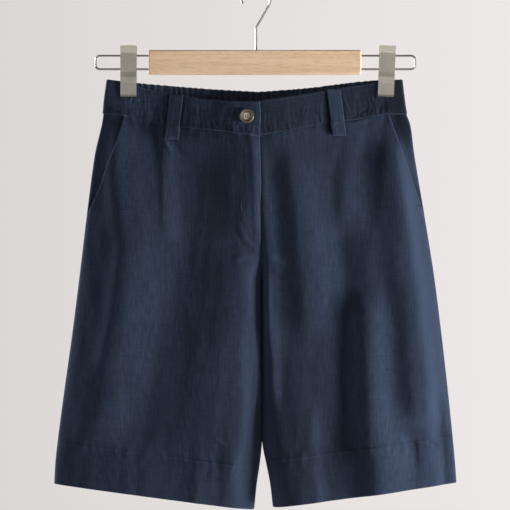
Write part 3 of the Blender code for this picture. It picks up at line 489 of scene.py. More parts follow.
def lay(side, face, f, z):
    """(x, y) on the inside of the cloth, f of the way from side seam to middle."""
    width = width_of(side, z)
    x = across_at(side, f, z)
    from_side, from_middle = f * width, (1 - f) * width

    depth = read(DEPTHS, z, "back" if face == BACK else "front_" + name_of(side))
    pinch = read(DEPTHS, z, "pinch")
    lower = ease((SIDE_ROUND_START - z) / SIDE_ROUND_LENGTH)
    full_at = SIDE_ROUND["upper"] * (1 - lower) + SIDE_ROUND["lower"] * lower
    free = np.sqrt(1 - (1 - np.minimum(f / full_at, 1.0)) ** 2)
    q = np.clip((from_side - PINCH_REACH) / (width - PINCH_REACH), 0.0, 1.0)
    pressed = (1 - np.cos(math.pi * q)) / 2
    reach = read(LEG_TURNS, z, panel_name(side, face))
    turn = np.clip(1 - from_middle / reach, 0.0, 1.0)
    under = (1 - turn ** LEG_TURN_POWER) ** (1 / LEG_TURN_POWER)
    opening = depth * ((1 - pinch) * free + pinch * pressed) * (1 - leg_share(z) * (1 - under))
    nose = pinch * FOLD_GAP * (1 - np.exp(-from_side / FOLD_GAP))

    calm = ease(from_side / SEAM_CALM) * ease((from_middle - 0.002) / SEAM_CALM)
    near = ease(from_side / SMALL_CALM) * ease(from_middle / SMALL_CALM)
    small = (folds(SMALL_FOLDS, face, x, z) + creases(face, x, z) + crumple(face, x, z)
             + sum(pucker_row(kind, x, z - row, seed)
                   for kind, row, seed in panel_rows(side, face, f)))
    hollow = (HOLLOW * ease((HOLLOW_START - z) / (HOLLOW_START - CROTCH))
              * bell(from_middle, HOLLOW_REACH))
    bulge = folds(FOLDS, face, x, z) * calm + small * near - hollow * (1 - leg_share(z))
    return x, face * (SEWN_GAP / 2 + nose + opening + bulge)


def skin(side, face, f, z, lift=0.0):
    """Points of the cloth, lifted off its inside towards the outside."""
    f, z, lift = np.broadcast_arrays(np.asarray(f, float), z, lift)
    f = np.clip(f, 0.0, 1.0)
    x, y = lay(side, face, f, z)
    step = np.clip(np.minimum(f, 1 - f), 1e-7, 1e-3)
    xa, ya = lay(side, face, np.clip(f + step, 0, 1), z)
    xb, yb = lay(side, face, np.clip(f - step, 0, 1), z)
    out_x, out_y = -(ya - yb), xa - xb
    wrong = np.where(out_y * face < 0, -1.0, 1.0)
    out_x, out_y = out_x * wrong, out_y * wrong
    turned = ease(leg_share(z) / LEGS_LEAVE)
    out_x = np.where(f < ON_SEAM, side, np.where(f > 1 - ON_SEAM, -side * turned, out_x))
    out_y = np.where(f < ON_SEAM, 0, np.where(f > 1 - ON_SEAM, face * (1 - turned), out_y))
    size = np.hypot(out_x, out_y)
    return np.stack((x + out_x / size * lift, y + out_y / size * lift, z), axis=-1)


def share_at(side, x, z):
    edge, inner = side_edge(side, z), inner_edge(side, z)
    return (x - edge) / (inner - edge)


def round_edge(distance, radius):
    """Share of the full thickness at a distance from a folded edge."""
    return np.sqrt(np.clip(1 - (1 - np.clip(distance / radius, 0.0, 1.0)) ** 2, 0.02, 1.0))


def stretches(count, close=(0.0007, 0.0018, 0.0035)):
    """Shares 0 to 1, with a few more near both ends to round the edges."""
    even, near = np.linspace(0, 1, count + 1), np.array(close)
    return np.sort(np.concatenate((even, near, 1 - near)))


def wall(name, inner, outer, u, v, wear, wear_and_light_inside=None):
    """A closed thin wall between two grids of points, with its weave's directions.

    A value above 0 fades the cloth there, by rubbing and, on the back band's inside, as painted
    light; below 0 it darkens the cloth with painted shade.
    """
    rows, columns = inner.shape[:2]
    inside = np.arange(rows * columns).reshape(rows, columns)
    outside = inside + rows * columns

    def quads(a, b, c, d):
        return np.stack((a, b, c, d), axis=-1).reshape(-1, 4)

    faces = np.concatenate((
        quads(inside[:-1, :-1], inside[:-1, 1:], inside[1:, 1:], inside[1:, :-1]),
        quads(outside[:-1, :-1], outside[1:, :-1], outside[1:, 1:], outside[:-1, 1:]),
        quads(outside[0, :-1], outside[0, 1:], inside[0, 1:], inside[0, :-1]),
        quads(inside[-1, :-1], inside[-1, 1:], outside[-1, 1:], outside[-1, :-1]),
        quads(inside[:-1, 0], inside[1:, 0], outside[1:, 0], outside[:-1, 0]),
        quads(outside[:-1, -1], outside[1:, -1], inside[1:, -1], inside[:-1, -1])))
    points = np.concatenate((inner.reshape(-1, 3), outer.reshape(-1, 3)))
    middle = (rows // 2, columns // 2)
    across = outer[middle[0], middle[1] + 1] - outer[middle]
    down = outer[middle[0] + 1, middle[1]] - outer[middle]
    if np.dot(np.cross(down, across), outer[middle] - inner[middle]) < 0:
        faces = faces[:, ::-1]

    mesh = bpy.data.meshes.new(name)
    mesh.from_pydata(points.tolist(), [], faces.tolist())
    corners = np.empty(len(mesh.loops), np.int32)
    mesh.loops.foreach_get("vertex_index", corners)
    threads = np.stack((np.tile(u.ravel(), 2), np.tile(v.ravel(), 2)), axis=-1)
    mesh.uv_layers.new(name="weave").data.foreach_set("uv", threads[corners].ravel())
    wear_and_shade_values = mesh.attributes.new("wear", "FLOAT", "POINT")
    layers = (wear if wear_and_light_inside is None else wear_and_light_inside, wear)
    wear_and_shade_values.data.foreach_set("value", np.concatenate(
        [np.broadcast_to(layer, u.shape).ravel() for layer in layers]))
    mesh.shade_smooth()
    mesh.set_sharp_from_angle(angle=math.radians(65))
    return in_scene(name, mesh)


def grain(points, plumb=None):
    """Distances along the rows and down the columns of a grid, for the weave.

    Its threads hang straight at the place across that plumb gives.
    """
    steps = np.linalg.norm(np.diff(points, axis=1), axis=-1)
    u = np.concatenate((np.zeros((len(points), 1)), np.cumsum(steps, axis=1)), axis=1)
    if plumb is not None:
        off = points[..., 0] - plumb
        nearest = np.abs(off).argmin(axis=1)[:, None]
        way = np.sign(points[:, -1:, 0] - points[:, :1, 0])
        u = u - np.take_along_axis(u, nearest, 1) + way * np.take_along_axis(off, nearest, 1)
    return u, points[..., 2].copy()


LINEN_DARK = (0.0122, 0.0180, 0.0340)
LINEN_LIGHT = (0.0236, 0.0345, 0.0645)
# faded linen where edges rub, also used as painted light
LINEN_FADED_AND_LIT = (0.0560, 0.0780, 0.1280)
LINEN_PAINTED_SHADE = (0.0030, 0.0045, 0.0090)       # painted shade: mixed in where the cloth's value is below 0
YARN_PITCH, WEAVE_RELIEF = 0.0008, 0.00016


def in_scene(name, data):
    """An object of the scene from a mesh, a light or a camera."""
    made = bpy.data.objects.new(name, data)
    bpy.context.scene.collection.objects.link(made)
    return made


def add_node(tree, kind, inputs=None, **settings):
    """A node with its settings; its inputs are numbers, colours or other nodes' outputs."""
    made = tree.nodes.new(kind)
    for label, value in settings.items():
        setattr(made, label, value)
    plug(tree, made, inputs or {})
    return made


def plug(tree, node, inputs):
    for label, value in inputs.items():
        if isinstance(value, bpy.types.NodeSocket):
            tree.links.new(value, node.inputs[label])
        else:
            node.inputs[label].default_value = value


def new_material(name):
    made = bpy.data.materials.new(name)
    made.use_nodes = True
    return made, made.node_tree


def surfaced(made, inputs):
    """A material whose surface has these inputs."""
    plug(made.node_tree, made.node_tree.nodes["Principled BSDF"], inputs)
    return made


def mixed(tree, share, low, high, **settings):
    """One colour where the share is 0 and another where it is 1."""
    return add_node(tree, "ShaderNodeMix", {0: share, 6: low, 7: high}, data_type="RGBA",
                    **settings).outputs[2]


def bumped(tree, height, distance, **inputs):
    return add_node(tree, "ShaderNodeBump", {
        "Height": height, "Distance": distance, **inputs}).outputs[0]


def noise(tree, stretch=None, **inputs):
    """Noise in the piece's own space, drawn out along its axes by a stretch."""
    place = add_node(tree, "ShaderNodeTexCoord").outputs["Object"]
    if stretch:
        place = add_node(tree, "ShaderNodeMapping", {
            "Vector": place, "Scale": stretch}).outputs[0]
    return add_node(tree, "ShaderNodeTexNoise", {"Vector": place, **inputs}).outputs[0]


def ramp(tree, share, stops):
    """Colours through stops, which are pairs of a share and a colour."""
    made = add_node(tree, "ShaderNodeValToRGB", {0: share})
    elements = made.color_ramp.elements
    for n, (position, colour) in enumerate(stops):
        stop = elements[n] if n < 2 else elements.new(position)
        stop.position = position
        stop.color = (*colour, 1)
    return made.outputs[0]


# Linen: yarns of uneven thickness and shade, softly faded where edges rub, and darkened with
# painted shade where its value is below 0
def linen_group():
    made = bpy.data.node_groups.new("linen weave", "ShaderNodeTree")
    for label, kind, value in (("Yarn pitch", "NodeSocketFloat", 0.0008),
                               ("Dark", "NodeSocketColor", (0, 0, 0, 1)),
                               ("Light", "NodeSocketColor", (1, 1, 1, 1)),
                               ("Faded and lit", "NodeSocketColor", (1, 1, 1, 1)),
                               ("Wear", "NodeSocketFloat", 0.0)):
        socket = made.interface.new_socket(label, in_out="INPUT", socket_type=kind)
        socket.default_value = value
    for label, kind in (("Colour", "NodeSocketColor"), ("Roughness", "NodeSocketFloat"),
                        ("Height", "NodeSocketFloat")):
        made.interface.new_socket(label, in_out="OUTPUT", socket_type=kind)
    given = made.nodes.new("NodeGroupInput").outputs
    place = add_node(made, "ShaderNodeUVMap", uv_map="weave")
    split = add_node(made, "ShaderNodeSeparateXYZ", {0: place.outputs[0]})
    u, v = split.outputs[0], split.outputs[1]

    def work(kind, one, two=0.0, three=0.0):
        return add_node(made, "ShaderNodeMath", {0: one, 1: two, 2: three},
                        operation=kind).outputs[0]

    def total(first, *others):
        for other in others:
            first = work("ADD", first, other)
        return first

    def centred(thing, much):
        return work("MULTIPLY", work("SUBTRACT", thing, 0.5), much)

    def within(thing):
        return add_node(made, "ShaderNodeClamp", {0: thing}).outputs[0]

    def streaks(across, down, shift, detail):
        """Noise drawn out along one direction; across and down are features a metre."""
        drawn = add_node(made, "ShaderNodeCombineXYZ", {
            0: work("MULTIPLY_ADD", u, across, shift), 1: work("MULTIPLY", v, down)})
        return add_node(made, "ShaderNodeTexNoise", {
            "Vector": drawn.outputs[0], "Scale": 1.0, "Detail": detail,
            "Roughness": 0.6}).outputs[0]

    warp = streaks(470, 60, 3.1, 2.0)
    weft = streaks(60, 480, 9.7, 2.0)
    long_warp = streaks(260, 24, 21.0, 1.0)
    cloud = streaks(24, 17, 40.0, 3.0)
    turns_u, turns_v = [work("DIVIDE", work("MULTIPLY", way, 2 * math.pi), given["Yarn pitch"])
                        for way in (u, v)]
    over = work("MULTIPLY", work("SINE", turns_u), work("SINE", turns_v))
    ribs = work("MULTIPLY", total(*[work("COSINE", work("MULTIPLY", turns, 2.0))
                                    for turns in (turns_u, turns_v)]), 0.35)
    slubs = total(centred(warp, 2.2), centred(weft, 1.1), centred(long_warp, 0.6))
    shade = total(work("MULTIPLY", over, 0.10), slubs, centred(cloud, 0.5), 0.5)
    patchy = total(0.55, centred(warp, 1.2), centred(weft, 1.2))
    dyed = mixed(made, within(shade), given["Dark"], given["Light"])
    # below 0 the dyed colour is darkened with painted shade; above 0 it is faded, by rubbing
    # and in places as painted light
    painted_shade = mixed(made, within(work("MULTIPLY", given["Wear"], -1.0)), dyed, (*LINEN_PAINTED_SHADE, 1))
    faded_and_lit = mixed(made, within(work("MULTIPLY", given["Wear"], patchy)), painted_shade, given["Faded and lit"])
    add_node(made, "NodeGroupOutput", {
        "Colour": faded_and_lit, "Roughness": work("MULTIPLY_ADD", shade, -0.10, 0.90),
        "Height": total(work("MULTIPLY", over, 0.22), ribs, slubs)})
    return made


weave_nodes = linen_group()


def linen(name, tone=1.0):
    """A linen material; tone makes a piece lighter or darker, which the bands use as painted
    light and shade.
    """
    made, tree = new_material(name)
    wear_and_shade_values = add_node(tree, "ShaderNodeAttribute", attribute_name="wear")
    inputs = {"Yarn pitch": YARN_PITCH, "Wear": wear_and_shade_values.outputs["Fac"]}
    for label, dye in (("Dark", LINEN_DARK), ("Light", LINEN_LIGHT), ("Faded and lit", LINEN_FADED_AND_LIT)):
        inputs[label] = [c * tone for c in dye] + [1]
    woven = add_node(tree, "ShaderNodeGroup", inputs, node_tree=weave_nodes).outputs
    return surfaced(made, {
        "Base Color": woven["Colour"], "Roughness": woven["Roughness"],
        "Normal": bumped(tree, woven["Height"], WEAVE_RELIEF, Strength=1.0),
        "Specular IOR Level": 0.10, "Sheen Weight": 0.34, "Sheen Roughness": 0.50,
        "Sheen Tint": (0.42, 0.60, 1.00, 1)})


body_linen = linen("linen")


def dress(piece, node, finish=None):
    """A cloth piece in place of its plain solid."""
    piece.data.materials.append(finish or body_linen)
    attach(piece, "root")
    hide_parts(node)


FLY_LAP, FLY_LAP_REACH = 0.0015, 0.004
FLY_LAP_END, FLY_LAP_FADE = FLY_END + 0.05, 0.020
FLY_RISE_START, FLY_RISE_FULL, FLY_RISE_FADE = 0.060, 0.033, 0.016
PANEL_COLUMNS = {FRONT: 128, BACK: 104}
PANEL_ROWS = {FRONT: 270, BACK: 225}
EDGE_ROUND = 0.0013     # how far in a folded edge stays rounded
SEAM_DIP = 0.0018       # and how far in a sewn edge dips towards its seam
DIP_TO = {"waist": 0.30, "side": 0.75, "inner": 0.60}   # shares of the thickness left there
PLUMB = 0.110           # the threads hang straight this far from the middle
EDGE_FADE = 0.004       # an open edge turns into a seam over this height
MOUTH_WEAR = {RIGHT: 1.20, LEFT: 0.60}
COLUMNS_SHIFT = 0.12
TURN_STEPS = 8          # rows round the fold of the hem
TURN_SPACE = 0.0001     # between the two layers there
TURN_RADIUS = (CLOTH + TURN_SPACE) / 2
TURN_INSIDE = 0.0032    # the front's own cloth goes this far up inside

# Values are above 0 where the cloth is rubbed pale and below 0 where painted shade darkens it
RUB_WIDTH = 0.0016      # an edge is rubbed this far in
# painted shade along the sewn side seam; the other edges are rubbed pale
SIDE_PAINTED_SHADE, INNER_RUB, FLY_RUB, TURN_RUB = -0.25, 0.15, 0.80, 0.35
# painted shade along the rows of stitches down the fly
FLY_PAINTED_SHADE, FLY_PAINTED_SHADE_WIDTH, FLY_PAINTED_SHADE_END = -0.40, 0.0017, -0.312
RubbedAndShadedLine = namedtuple("RubbedAndShadedLine", "above width wear")   # at a height above the stitches of the hem: a line of painted shade and a line rubbed pale
HEM_PAINTED_SHADE, HEM_RUB = RubbedAndShadedLine(0.0014, 0.0013, -0.55), RubbedAndShadedLine(-0.0008, 0.0011, 0.16)

# Gathers of the elastic: small pleats in the band, and long ones below it
GATHERS = 20            # on each half of the back
GATHER_RISE = 0.0007
GATHER_RUN = 0.012      # the small pleats die away over this length below the band
GATHER_START = 0.16
BACK_GATHERS = 8
BACK_GATHER_RISE = 0.0016
BACK_GATHER_END = -0.245


def mouth_share(side, z):
    """Where the pocket mouth crosses each height; 0 below its end."""
    end = side_edge(side, POCKET_END)
    last = POCKET[-1]
    t = (z - POCKET_END) / (last.height - POCKET_END)
    below = end + (getattr(last, name_of(side)) - end) * t
    across = np.where(z <= last.height, below, read(POCKET, z, name_of(side)))
    return np.where(z > POCKET_END, np.maximum(share_at(side, across, z), 0.0), 0.0)


def front_lift(side, f, z, thickness=CLOTH):
    """What raises a front off its lay: the fly over its underlap, and the pocket's gape."""
    from_edge = (1 - f) * width_of(side, z)
    near = 1 - ease((from_edge - FLY_RISE_FULL) / (FLY_RISE_START - FLY_RISE_FULL))
    rise = (thickness + SEAM) * near * ease((z - FLY_END) / FLY_RISE_FADE)
    along = np.clip((z - POCKET_END) / (POCKET_TOP - POCKET_END), 0.0, 1.0)
    off = (f - mouth_share(side, z)) * width_of(side, z)
    gape = (POCKET_GAPE[side] * np.sin(math.pi * along) ** 1.5
            * bell(off, GAPE_REACH) * (z > POCKET_END))
    return (rise if side == RIGHT else 0.0) + gape


def column_share(c, z):
    legs = ease((POCKET_END - z) / COLUMNS_SHIFT)
    return ((1 - np.cos(math.pi * c / 2)) * (1 - legs)
            + (1 - np.cos(math.pi * c)) / 2 * legs)


def panel_grid(side, face, columns, rows):
    """Shares and heights of a panel's grid, down to where its hem starts to turn."""
    c = stretches(columns)[None, :]
    w = np.linspace(0, 1, rows + 1)[:, None]
    w = np.sort(np.concatenate((w, [[0.0006], [0.0014], [0.0026]])), axis=0)
    f = 0.5 * c + 0 * w
    for _ in range(ROUNDS):
        top = waist_seam(side, face, f) - SEWN_GAP
        low = hem_fold(side, f) + TURN_RADIUS + CLOTH / 2
        z = top + (low - top) * w
        f = column_share(c, z)
        if face == FRONT:
            start = mouth_share(side, z)
            f = start + (1 - start) * f
    return f, z


def back_gathers(side, f, z):
    """Fullness that the elastic sends into a back: many small pleats that soon join."""
    seam = waist_seam(side, BACK, f)
    t = (f - GATHER_START) / (1 - GATHER_START)
    middle = ease((f - GATHER_START) / 0.10)
    long_ones = (BACK_GATHER_RISE * ease((z - BACK_GATHER_END) / (seam - BACK_GATHER_END))
                 * np.sin(2 * math.pi * (BACK_GATHERS * t + 0.12 * np.sin(9 * t))))
    short = GATHER_RISE * np.exp((z - seam) / GATHER_RUN) * gather_wave(side, f, z)
    return middle * (long_ones + short)


def gather_wave(side, f, z):
    """Uneven sharp-crested waves of the elasticated band, from -1 to 1."""
    t = (f - GATHER_START) / (1 - GATHER_START)
    drift = (0.20 * np.sin(17 * t + side) + 0.13 * np.sin(41 * t + 2 * side)
             + 0.10 * np.sin(z * 260 + 23 * t))
    turns = 2 * math.pi * (GATHERS * t + drift)
    uneven = 0.78 + 0.22 * np.sin(29 * t + 1.3 * side) * np.sin(z * 190 + 11 * t)
    return uneven * (np.sin(turns) + 0.22 * np.sin(2 * turns + 0.6))


def panel(side, face):
    """A front or a back: its outside turns in under the hem's fold."""
    f, z = panel_grid(side, face, PANEL_COLUMNS[face], PANEL_ROWS[face])
    width = width_of(side, z)
    rise = front_lift(side, f, z) if face == FRONT else 0.0 * f
    from_start, from_end = (f - f[:, :1]) * width, (1 - f) * width
    from_top = z[:1] - z
    has_fly = side == RIGHT and face == FRONT
    open_side = ease((z - POCKET_END) / EDGE_FADE) * (face == FRONT)
    open_fly = ease((z - FLY_END) / EDGE_FADE) * has_fly
    legs = ease(leg_share(z) / LEGS_LEAVE)

    def pinch_in(distance, is_open, dip_to):
        """Where the layer's inside and outside lie, in shares of its thickness."""
        folded = round_edge(distance, EDGE_ROUND)
        sewn = dip_to + (1 - dip_to) * round_edge(distance, SEAM_DIP)
        low, high = 0.5 - 0.5 * folded, 0.5 + 0.5 * folded
        return low * is_open, high * is_open + sewn * (1 - is_open)

    low_side, high_side = pinch_in(from_start, open_side, DIP_TO["side"])
    seam_dip = DIP_TO["inner"] * (1 - legs) + legs
    if side == LEFT and face == FRONT:      # it runs on under the fly
        seam_dip = seam_dip + (1 - seam_dip) * ease((z - FLY_END) / EDGE_FADE)
    low_fly, high_fly = pinch_in(from_end, open_fly, seam_dip)
    high_top = DIP_TO["waist"] + (1 - DIP_TO["waist"]) * round_edge(from_top, SEAM_DIP)
    low = np.maximum(low_side, low_fly)
    high = np.minimum(np.minimum(high_side, high_fly), high_top)
    lap = (has_fly * FLY_LAP * ease((z - FLY_LAP_END) / FLY_LAP_FADE)
           * bell(from_end, FLY_LAP_REACH))
    wave = back_gathers(side, f, z) if face == BACK else 0.0 * f

    def surface(share):
        points = skin(side, face, f, z, rise + CLOTH * share)
        points[..., 0] += lap
        points[..., 1] += wave
        return points

    inner, outer = [surface(low)], [surface(high)]
    centre = CLOTH / 2 - TURN_RADIUS
    radii = TURN_RADIUS - CLOTH / 2, TURN_RADIUS + CLOTH * (high[-1] - 0.5)
    for angle in [*np.linspace(0, math.pi, TURN_STEPS + 1)[1:], None]:
        for rows, radius in zip((inner, outer), radii):
            if angle is None:
                lift, height = centre - radius, z[-1] + TURN_INSIDE
            else:
                lift, height = (centre + radius * math.cos(angle),
                                z[-1] - radius * math.sin(angle))
            at = skin(side, face, f[-1], z[-1], lift)
            at[..., 2] = height
            rows.append(at[None])
    inner, outer = np.concatenate(inner), np.concatenate(outer)

    u, v = grain(outer, side * PLUMB)
    turned = len(outer) - len(z)
    v[len(z):] = z[-1] - np.linspace(0.0005, 0.007, turned)[:, None]
    x = outer[:len(z), :, 0]
    side_edge_rub_and_shade = SIDE_PAINTED_SHADE + (MOUTH_WEAR[side] - SIDE_PAINTED_SHADE) * open_side
    # rubbed pale at the pocket mouth, the fly, the inner edge, pucker crests and raised
    # creases; painted shade along the sewn side seam, between puckers, in sunk creases and
    # beside the belt loops
    wear_and_shade_values = (bell(from_start, RUB_WIDTH) * side_edge_rub_and_shade
            + bell(from_end, RUB_WIDTH) * (INNER_RUB + (FLY_RUB - INNER_RUB) * open_fly)
            + sum(rubbed_and_shaded(kind, x, z - row, seed)
                  for kind, row, seed in panel_rows(side, face, f))
            + CREASE_RUB_AND_SHADE * creases(face, x, z)
            + painted_shade_beside_loops(face, x, z, waist_seam(side, face, f)))
    # painted shade along the rows of stitches down the fly
    for places in FLY_ROWS if has_fly else ():
        line = np.interp(-z, [-height for _, height in places], [at for at, _ in places])
        wear_and_shade_values = wear_and_shade_values + (FLY_PAINTED_SHADE * bell(x - line, FLY_PAINTED_SHADE_WIDTH)
                       * ease((z - FLY_PAINTED_SHADE_END) / 0.010) * ease(from_top / 0.006))
    # a line of painted shade just above the hem's stitches, and a line rubbed pale just below
    # them
    drawn = 0.55 + 0.45 * np.sin(60 * x + 2 * np.sin(23 * x))   # it comes and goes
    for line, strength in ((HEM_PAINTED_SHADE, drawn), (HEM_RUB, 1.0)):
        off = z - hem_stitches(side, f) - line.above
        wear_and_shade_values = wear_and_shade_values + line.wear * strength * bell(off, line.width)
    # painted shade from the patches on the fronts, and painted light where a patch is below 0
    if face == FRONT:
        wear_and_shade_values = wear_and_shade_values - painted_shade_depth(side, x, z) * (1 - np.clip(wear_and_shade_values, 0, 1))
    wear_and_shade_values = np.concatenate((wear_and_shade_values, np.full((turned, f.shape[1]), TURN_RUB)))
    name = panel_name(side, face)
    made = wall("linen_" + name, inner, outer, u, v, np.clip(wear_and_shade_values, -1, 1))
    dress(made, name)
    return made


fronts = {side: panel(side, FRONT) for side in (RIGHT, LEFT)}


# ---------------------------------------------------------------- backs
# Two backs of the same linen, plain, cut wider than the fronts and drawn in at the
# waist by the elastic, which sends small pleats down from the waistband seam.

backs = {side: panel(side, BACK) for side in (RIGHT, LEFT)}


# ---------------------------------------------------------------- hems
# The end of each leg is turned up inside and sewn down all round, so the hem is
# double: this is its inner layer, whose raw edge is folded in at the stitches.

HEM_INSIDE = 0.0012
HEM_COLUMNS, HEM_ROWS = 90, 22
HEM_OVER = 0.0020       # it reaches this far above the stitches


def side_by_side(*lists):
    """Grids joined across, from lists of their parts."""
    return [np.concatenate(parts, axis=1) for parts in lists]


def hem(side):
    c = stretches(HEM_COLUMNS, (0.0012, 0.004))
    half = (1 - np.cos(math.pi * c)) / 2
    w = np.concatenate(([0, 0.006, 0.015, 0.03], np.linspace(0.06, 1, HEM_ROWS)))[:, None]
    inner, outer = [], []
    for face, f in ((FRONT, half), (BACK, half[::-1])):
        f = f[None, :] + 0 * w
        top = hem_stitches(side, f) + HEM_OVER
        low = hem_fold(side, f) + TURN_RADIUS + CLOTH / 2 + TURN_INSIDE + SEWN_GAP
        z = top + (low - top) * w
        folded = round_edge(top - z, HEM_INSIDE)
        for rows, k in ((inner, -1), (outer, 1)):
            rows.append(skin(side, face, f, z,
                             -TURN_SPACE - HEM_INSIDE / 2 + k * HEM_INSIDE / 2 * folded))
    inner, outer = side_by_side(inner, outer)
    u, v = grain(inner)
    made = wall("linen_hem_" + name_of(side), inner, outer, u, v, 0.1)
    dress(made, "hem_" + name_of(side))


for side in (RIGHT, LEFT):
    hem(side)


# ---------------------------------------------------------------- pocket facings
# The linen that shows behind each slanted mouth. It is sewn into the side seam and
# the waistband and lies flat on the hip, a little below the front.

FACING = 0.0010
FACING_DROP = 0.0006
FACING_MARGIN = 0.012
FACING_PAINTED_SHADE, FACING_PAINTED_SHADE_WIDTH = -0.85, 0.0030    # painted shadow along the mouth's edge
LEFT_FACING_PAINTED_SHADE, LEFT_FACING_PAINTED_SHADE_END = -0.80, -0.215          # and painted shade on the left one's upper part
FACING_COLUMNS, FACING_ROWS = 30, 96


def pocket_facing(side):
    w = np.linspace(0, 1, FACING_ROWS + 1)[:, None]
    c = np.linspace(0, 1, FACING_COLUMNS + 1)[None, :]
    f = 0.05 + 0 * c + 0 * w
    for _ in range(ROUNDS):
        top = waist_seam(side, FRONT, f) - SEWN_GAP
        z = top + (POCKET_END - top) * w
        reach = mouth_share(side, z) + FACING_MARGIN / width_of(side, z)
        f = reach * (1 - np.cos(math.pi * c / 2))
    start = np.maximum(mouth_share(side, z), 1e-4)
    under = ease(f / (0.8 * start))
    top_lift = CLOTH * (1 - under) - FACING_DROP * under
    edge = DIP_TO["side"] + (1 - DIP_TO["side"]) * round_edge(f * width_of(side, z), SEAM_DIP)
    inner = skin(side, FRONT, f, z, top_lift - FACING)
    outer = skin(side, FRONT, f, z, top_lift - FACING * (1 - edge))
    u, v = grain(outer, side * PLUMB)
    # painted shadow under the mouth's edge, and painted shade on the left facing's upper part
    wear_and_shade_values = FACING_PAINTED_SHADE * bell((start - f) * width_of(side, z), FACING_PAINTED_SHADE_WIDTH)
    if side == LEFT:
        wear_and_shade_values = np.minimum(wear_and_shade_values, LEFT_FACING_PAINTED_SHADE * ease((z - LEFT_FACING_PAINTED_SHADE_END) / 0.040))
    made = wall("linen_pocket_facing_" + name_of(side), inner, outer, u + 0.3 * side, v, wear_and_shade_values)
    dress(made, "pocket_facing_" + name_of(side))


for side in (RIGHT, LEFT):
    pocket_facing(side)


# ---------------------------------------------------------------- fly underlap
# A double strip behind the fly's edge, which backs the opening. It hangs from the
# waistband and its far edge is sewn to the left front.

UNDERLAP_END = FLY_END + 0.02
UNDERLAP_FROM = {"panel": 20 / 22, "band": 10 / 12}     # where it starts under the right half
UNDERLAP_COLUMNS, UNDERLAP_ROWS = 26, 80


def fly_underlap():
    w = np.linspace(0, 1, UNDERLAP_ROWS + 1)[:, None]
    c = np.linspace(0, 1, UNDERLAP_COLUMNS + 1)[None, :]
    f = 0.95 + 0 * c + 0 * w
    for _ in range(ROUNDS):
        top = waist_seam(RIGHT, FRONT, f) - SEAM
        z = top + (UNDERLAP_END - top) * w
        start = column_share(UNDERLAP_FROM["panel"], z)
        mouth = mouth_share(RIGHT, z)
        start = mouth + (1 - mouth) * start
        f = start + (1 - start) * c
    folded = round_edge((f - f[:, :1]) * width_of(RIGHT, z), EDGE_ROUND)
    inner, outer = [skin(RIGHT, FRONT, f, z, CLOTH * (0.5 + k * 0.5 * folded))
                    for k in (-1, 1)]
    u, v = grain(outer)
    made = wall("linen_fly_underlap", inner, outer, u + 0.6, v, 0.0)
    dress(made, "fly_underlap")


fly_underlap()


# ---------------------------------------------------------------- front waistband
# Two straight strips of doubled, stiffened linen. They close on the front with one
# button, the right over the left, and small puckers stand along their seams.

BAND_SEAM = {RIGHT: -0.1660, LEFT: 0.1650}
BAND_MIDDLE, BAND_SPAN = -0.140, 0.19
BAND_COLUMNS, BAND_ROWS = 300, 62
ROWS_AT_SEAM = (0.0018, 0.0052)     # rows of stitches above the band's seam
ROW_AT_TOP = 0.0022                 # and one below its upper edge
BAND_WRINKLES, BAND_CALM = 0.0210, 0.0045
# painted shade along the rows of stitches at the band's seam
BAND_RUB_WIDTH, STITCH_PAINTED_SHADE, STITCH_PAINTED_SHADE_WIDTH = 0.0015, -0.40, 0.0008
# painted light on the right band and painted shade on the left one: the same linen made lighter
# and darker
BAND_LIT_AND_SHADED_TONE = {RIGHT: 1.12, LEFT: 0.44}


def band_share(side, c):
    """Share of a column of a front band, from its seam with the back band to the fly."""
    start = share_at(side, BAND_SEAM[side], BAND_MIDDLE) + SEWN_GAP / BAND_SPAN
    first = 2 / math.pi * np.arccos(1 - start)
    return 1 - np.cos(math.pi / 2 * (first + (1 - first) * c))


def band_edges(side, face, f):
    """Heights of a waistband's upper edge and seam."""
    return read(WAIST_TOPS[face], f, name_of(side)), waist_seam(side, face, f)


def band_lift(side, f, z):
    """What raises the right end of the band over the left one."""
    return front_lift(side, f, z, BAND) if side == RIGHT else 0.0 * f


def edge_rows(count):
    """Shares down a band, closer at both edges."""
    return np.concatenate(([0, 0.005, 0.013, 0.025, 0.04], np.linspace(0.06, 0.94, count),
                           [0.96, 0.975, 0.987, 0.995, 1]))[:, None]


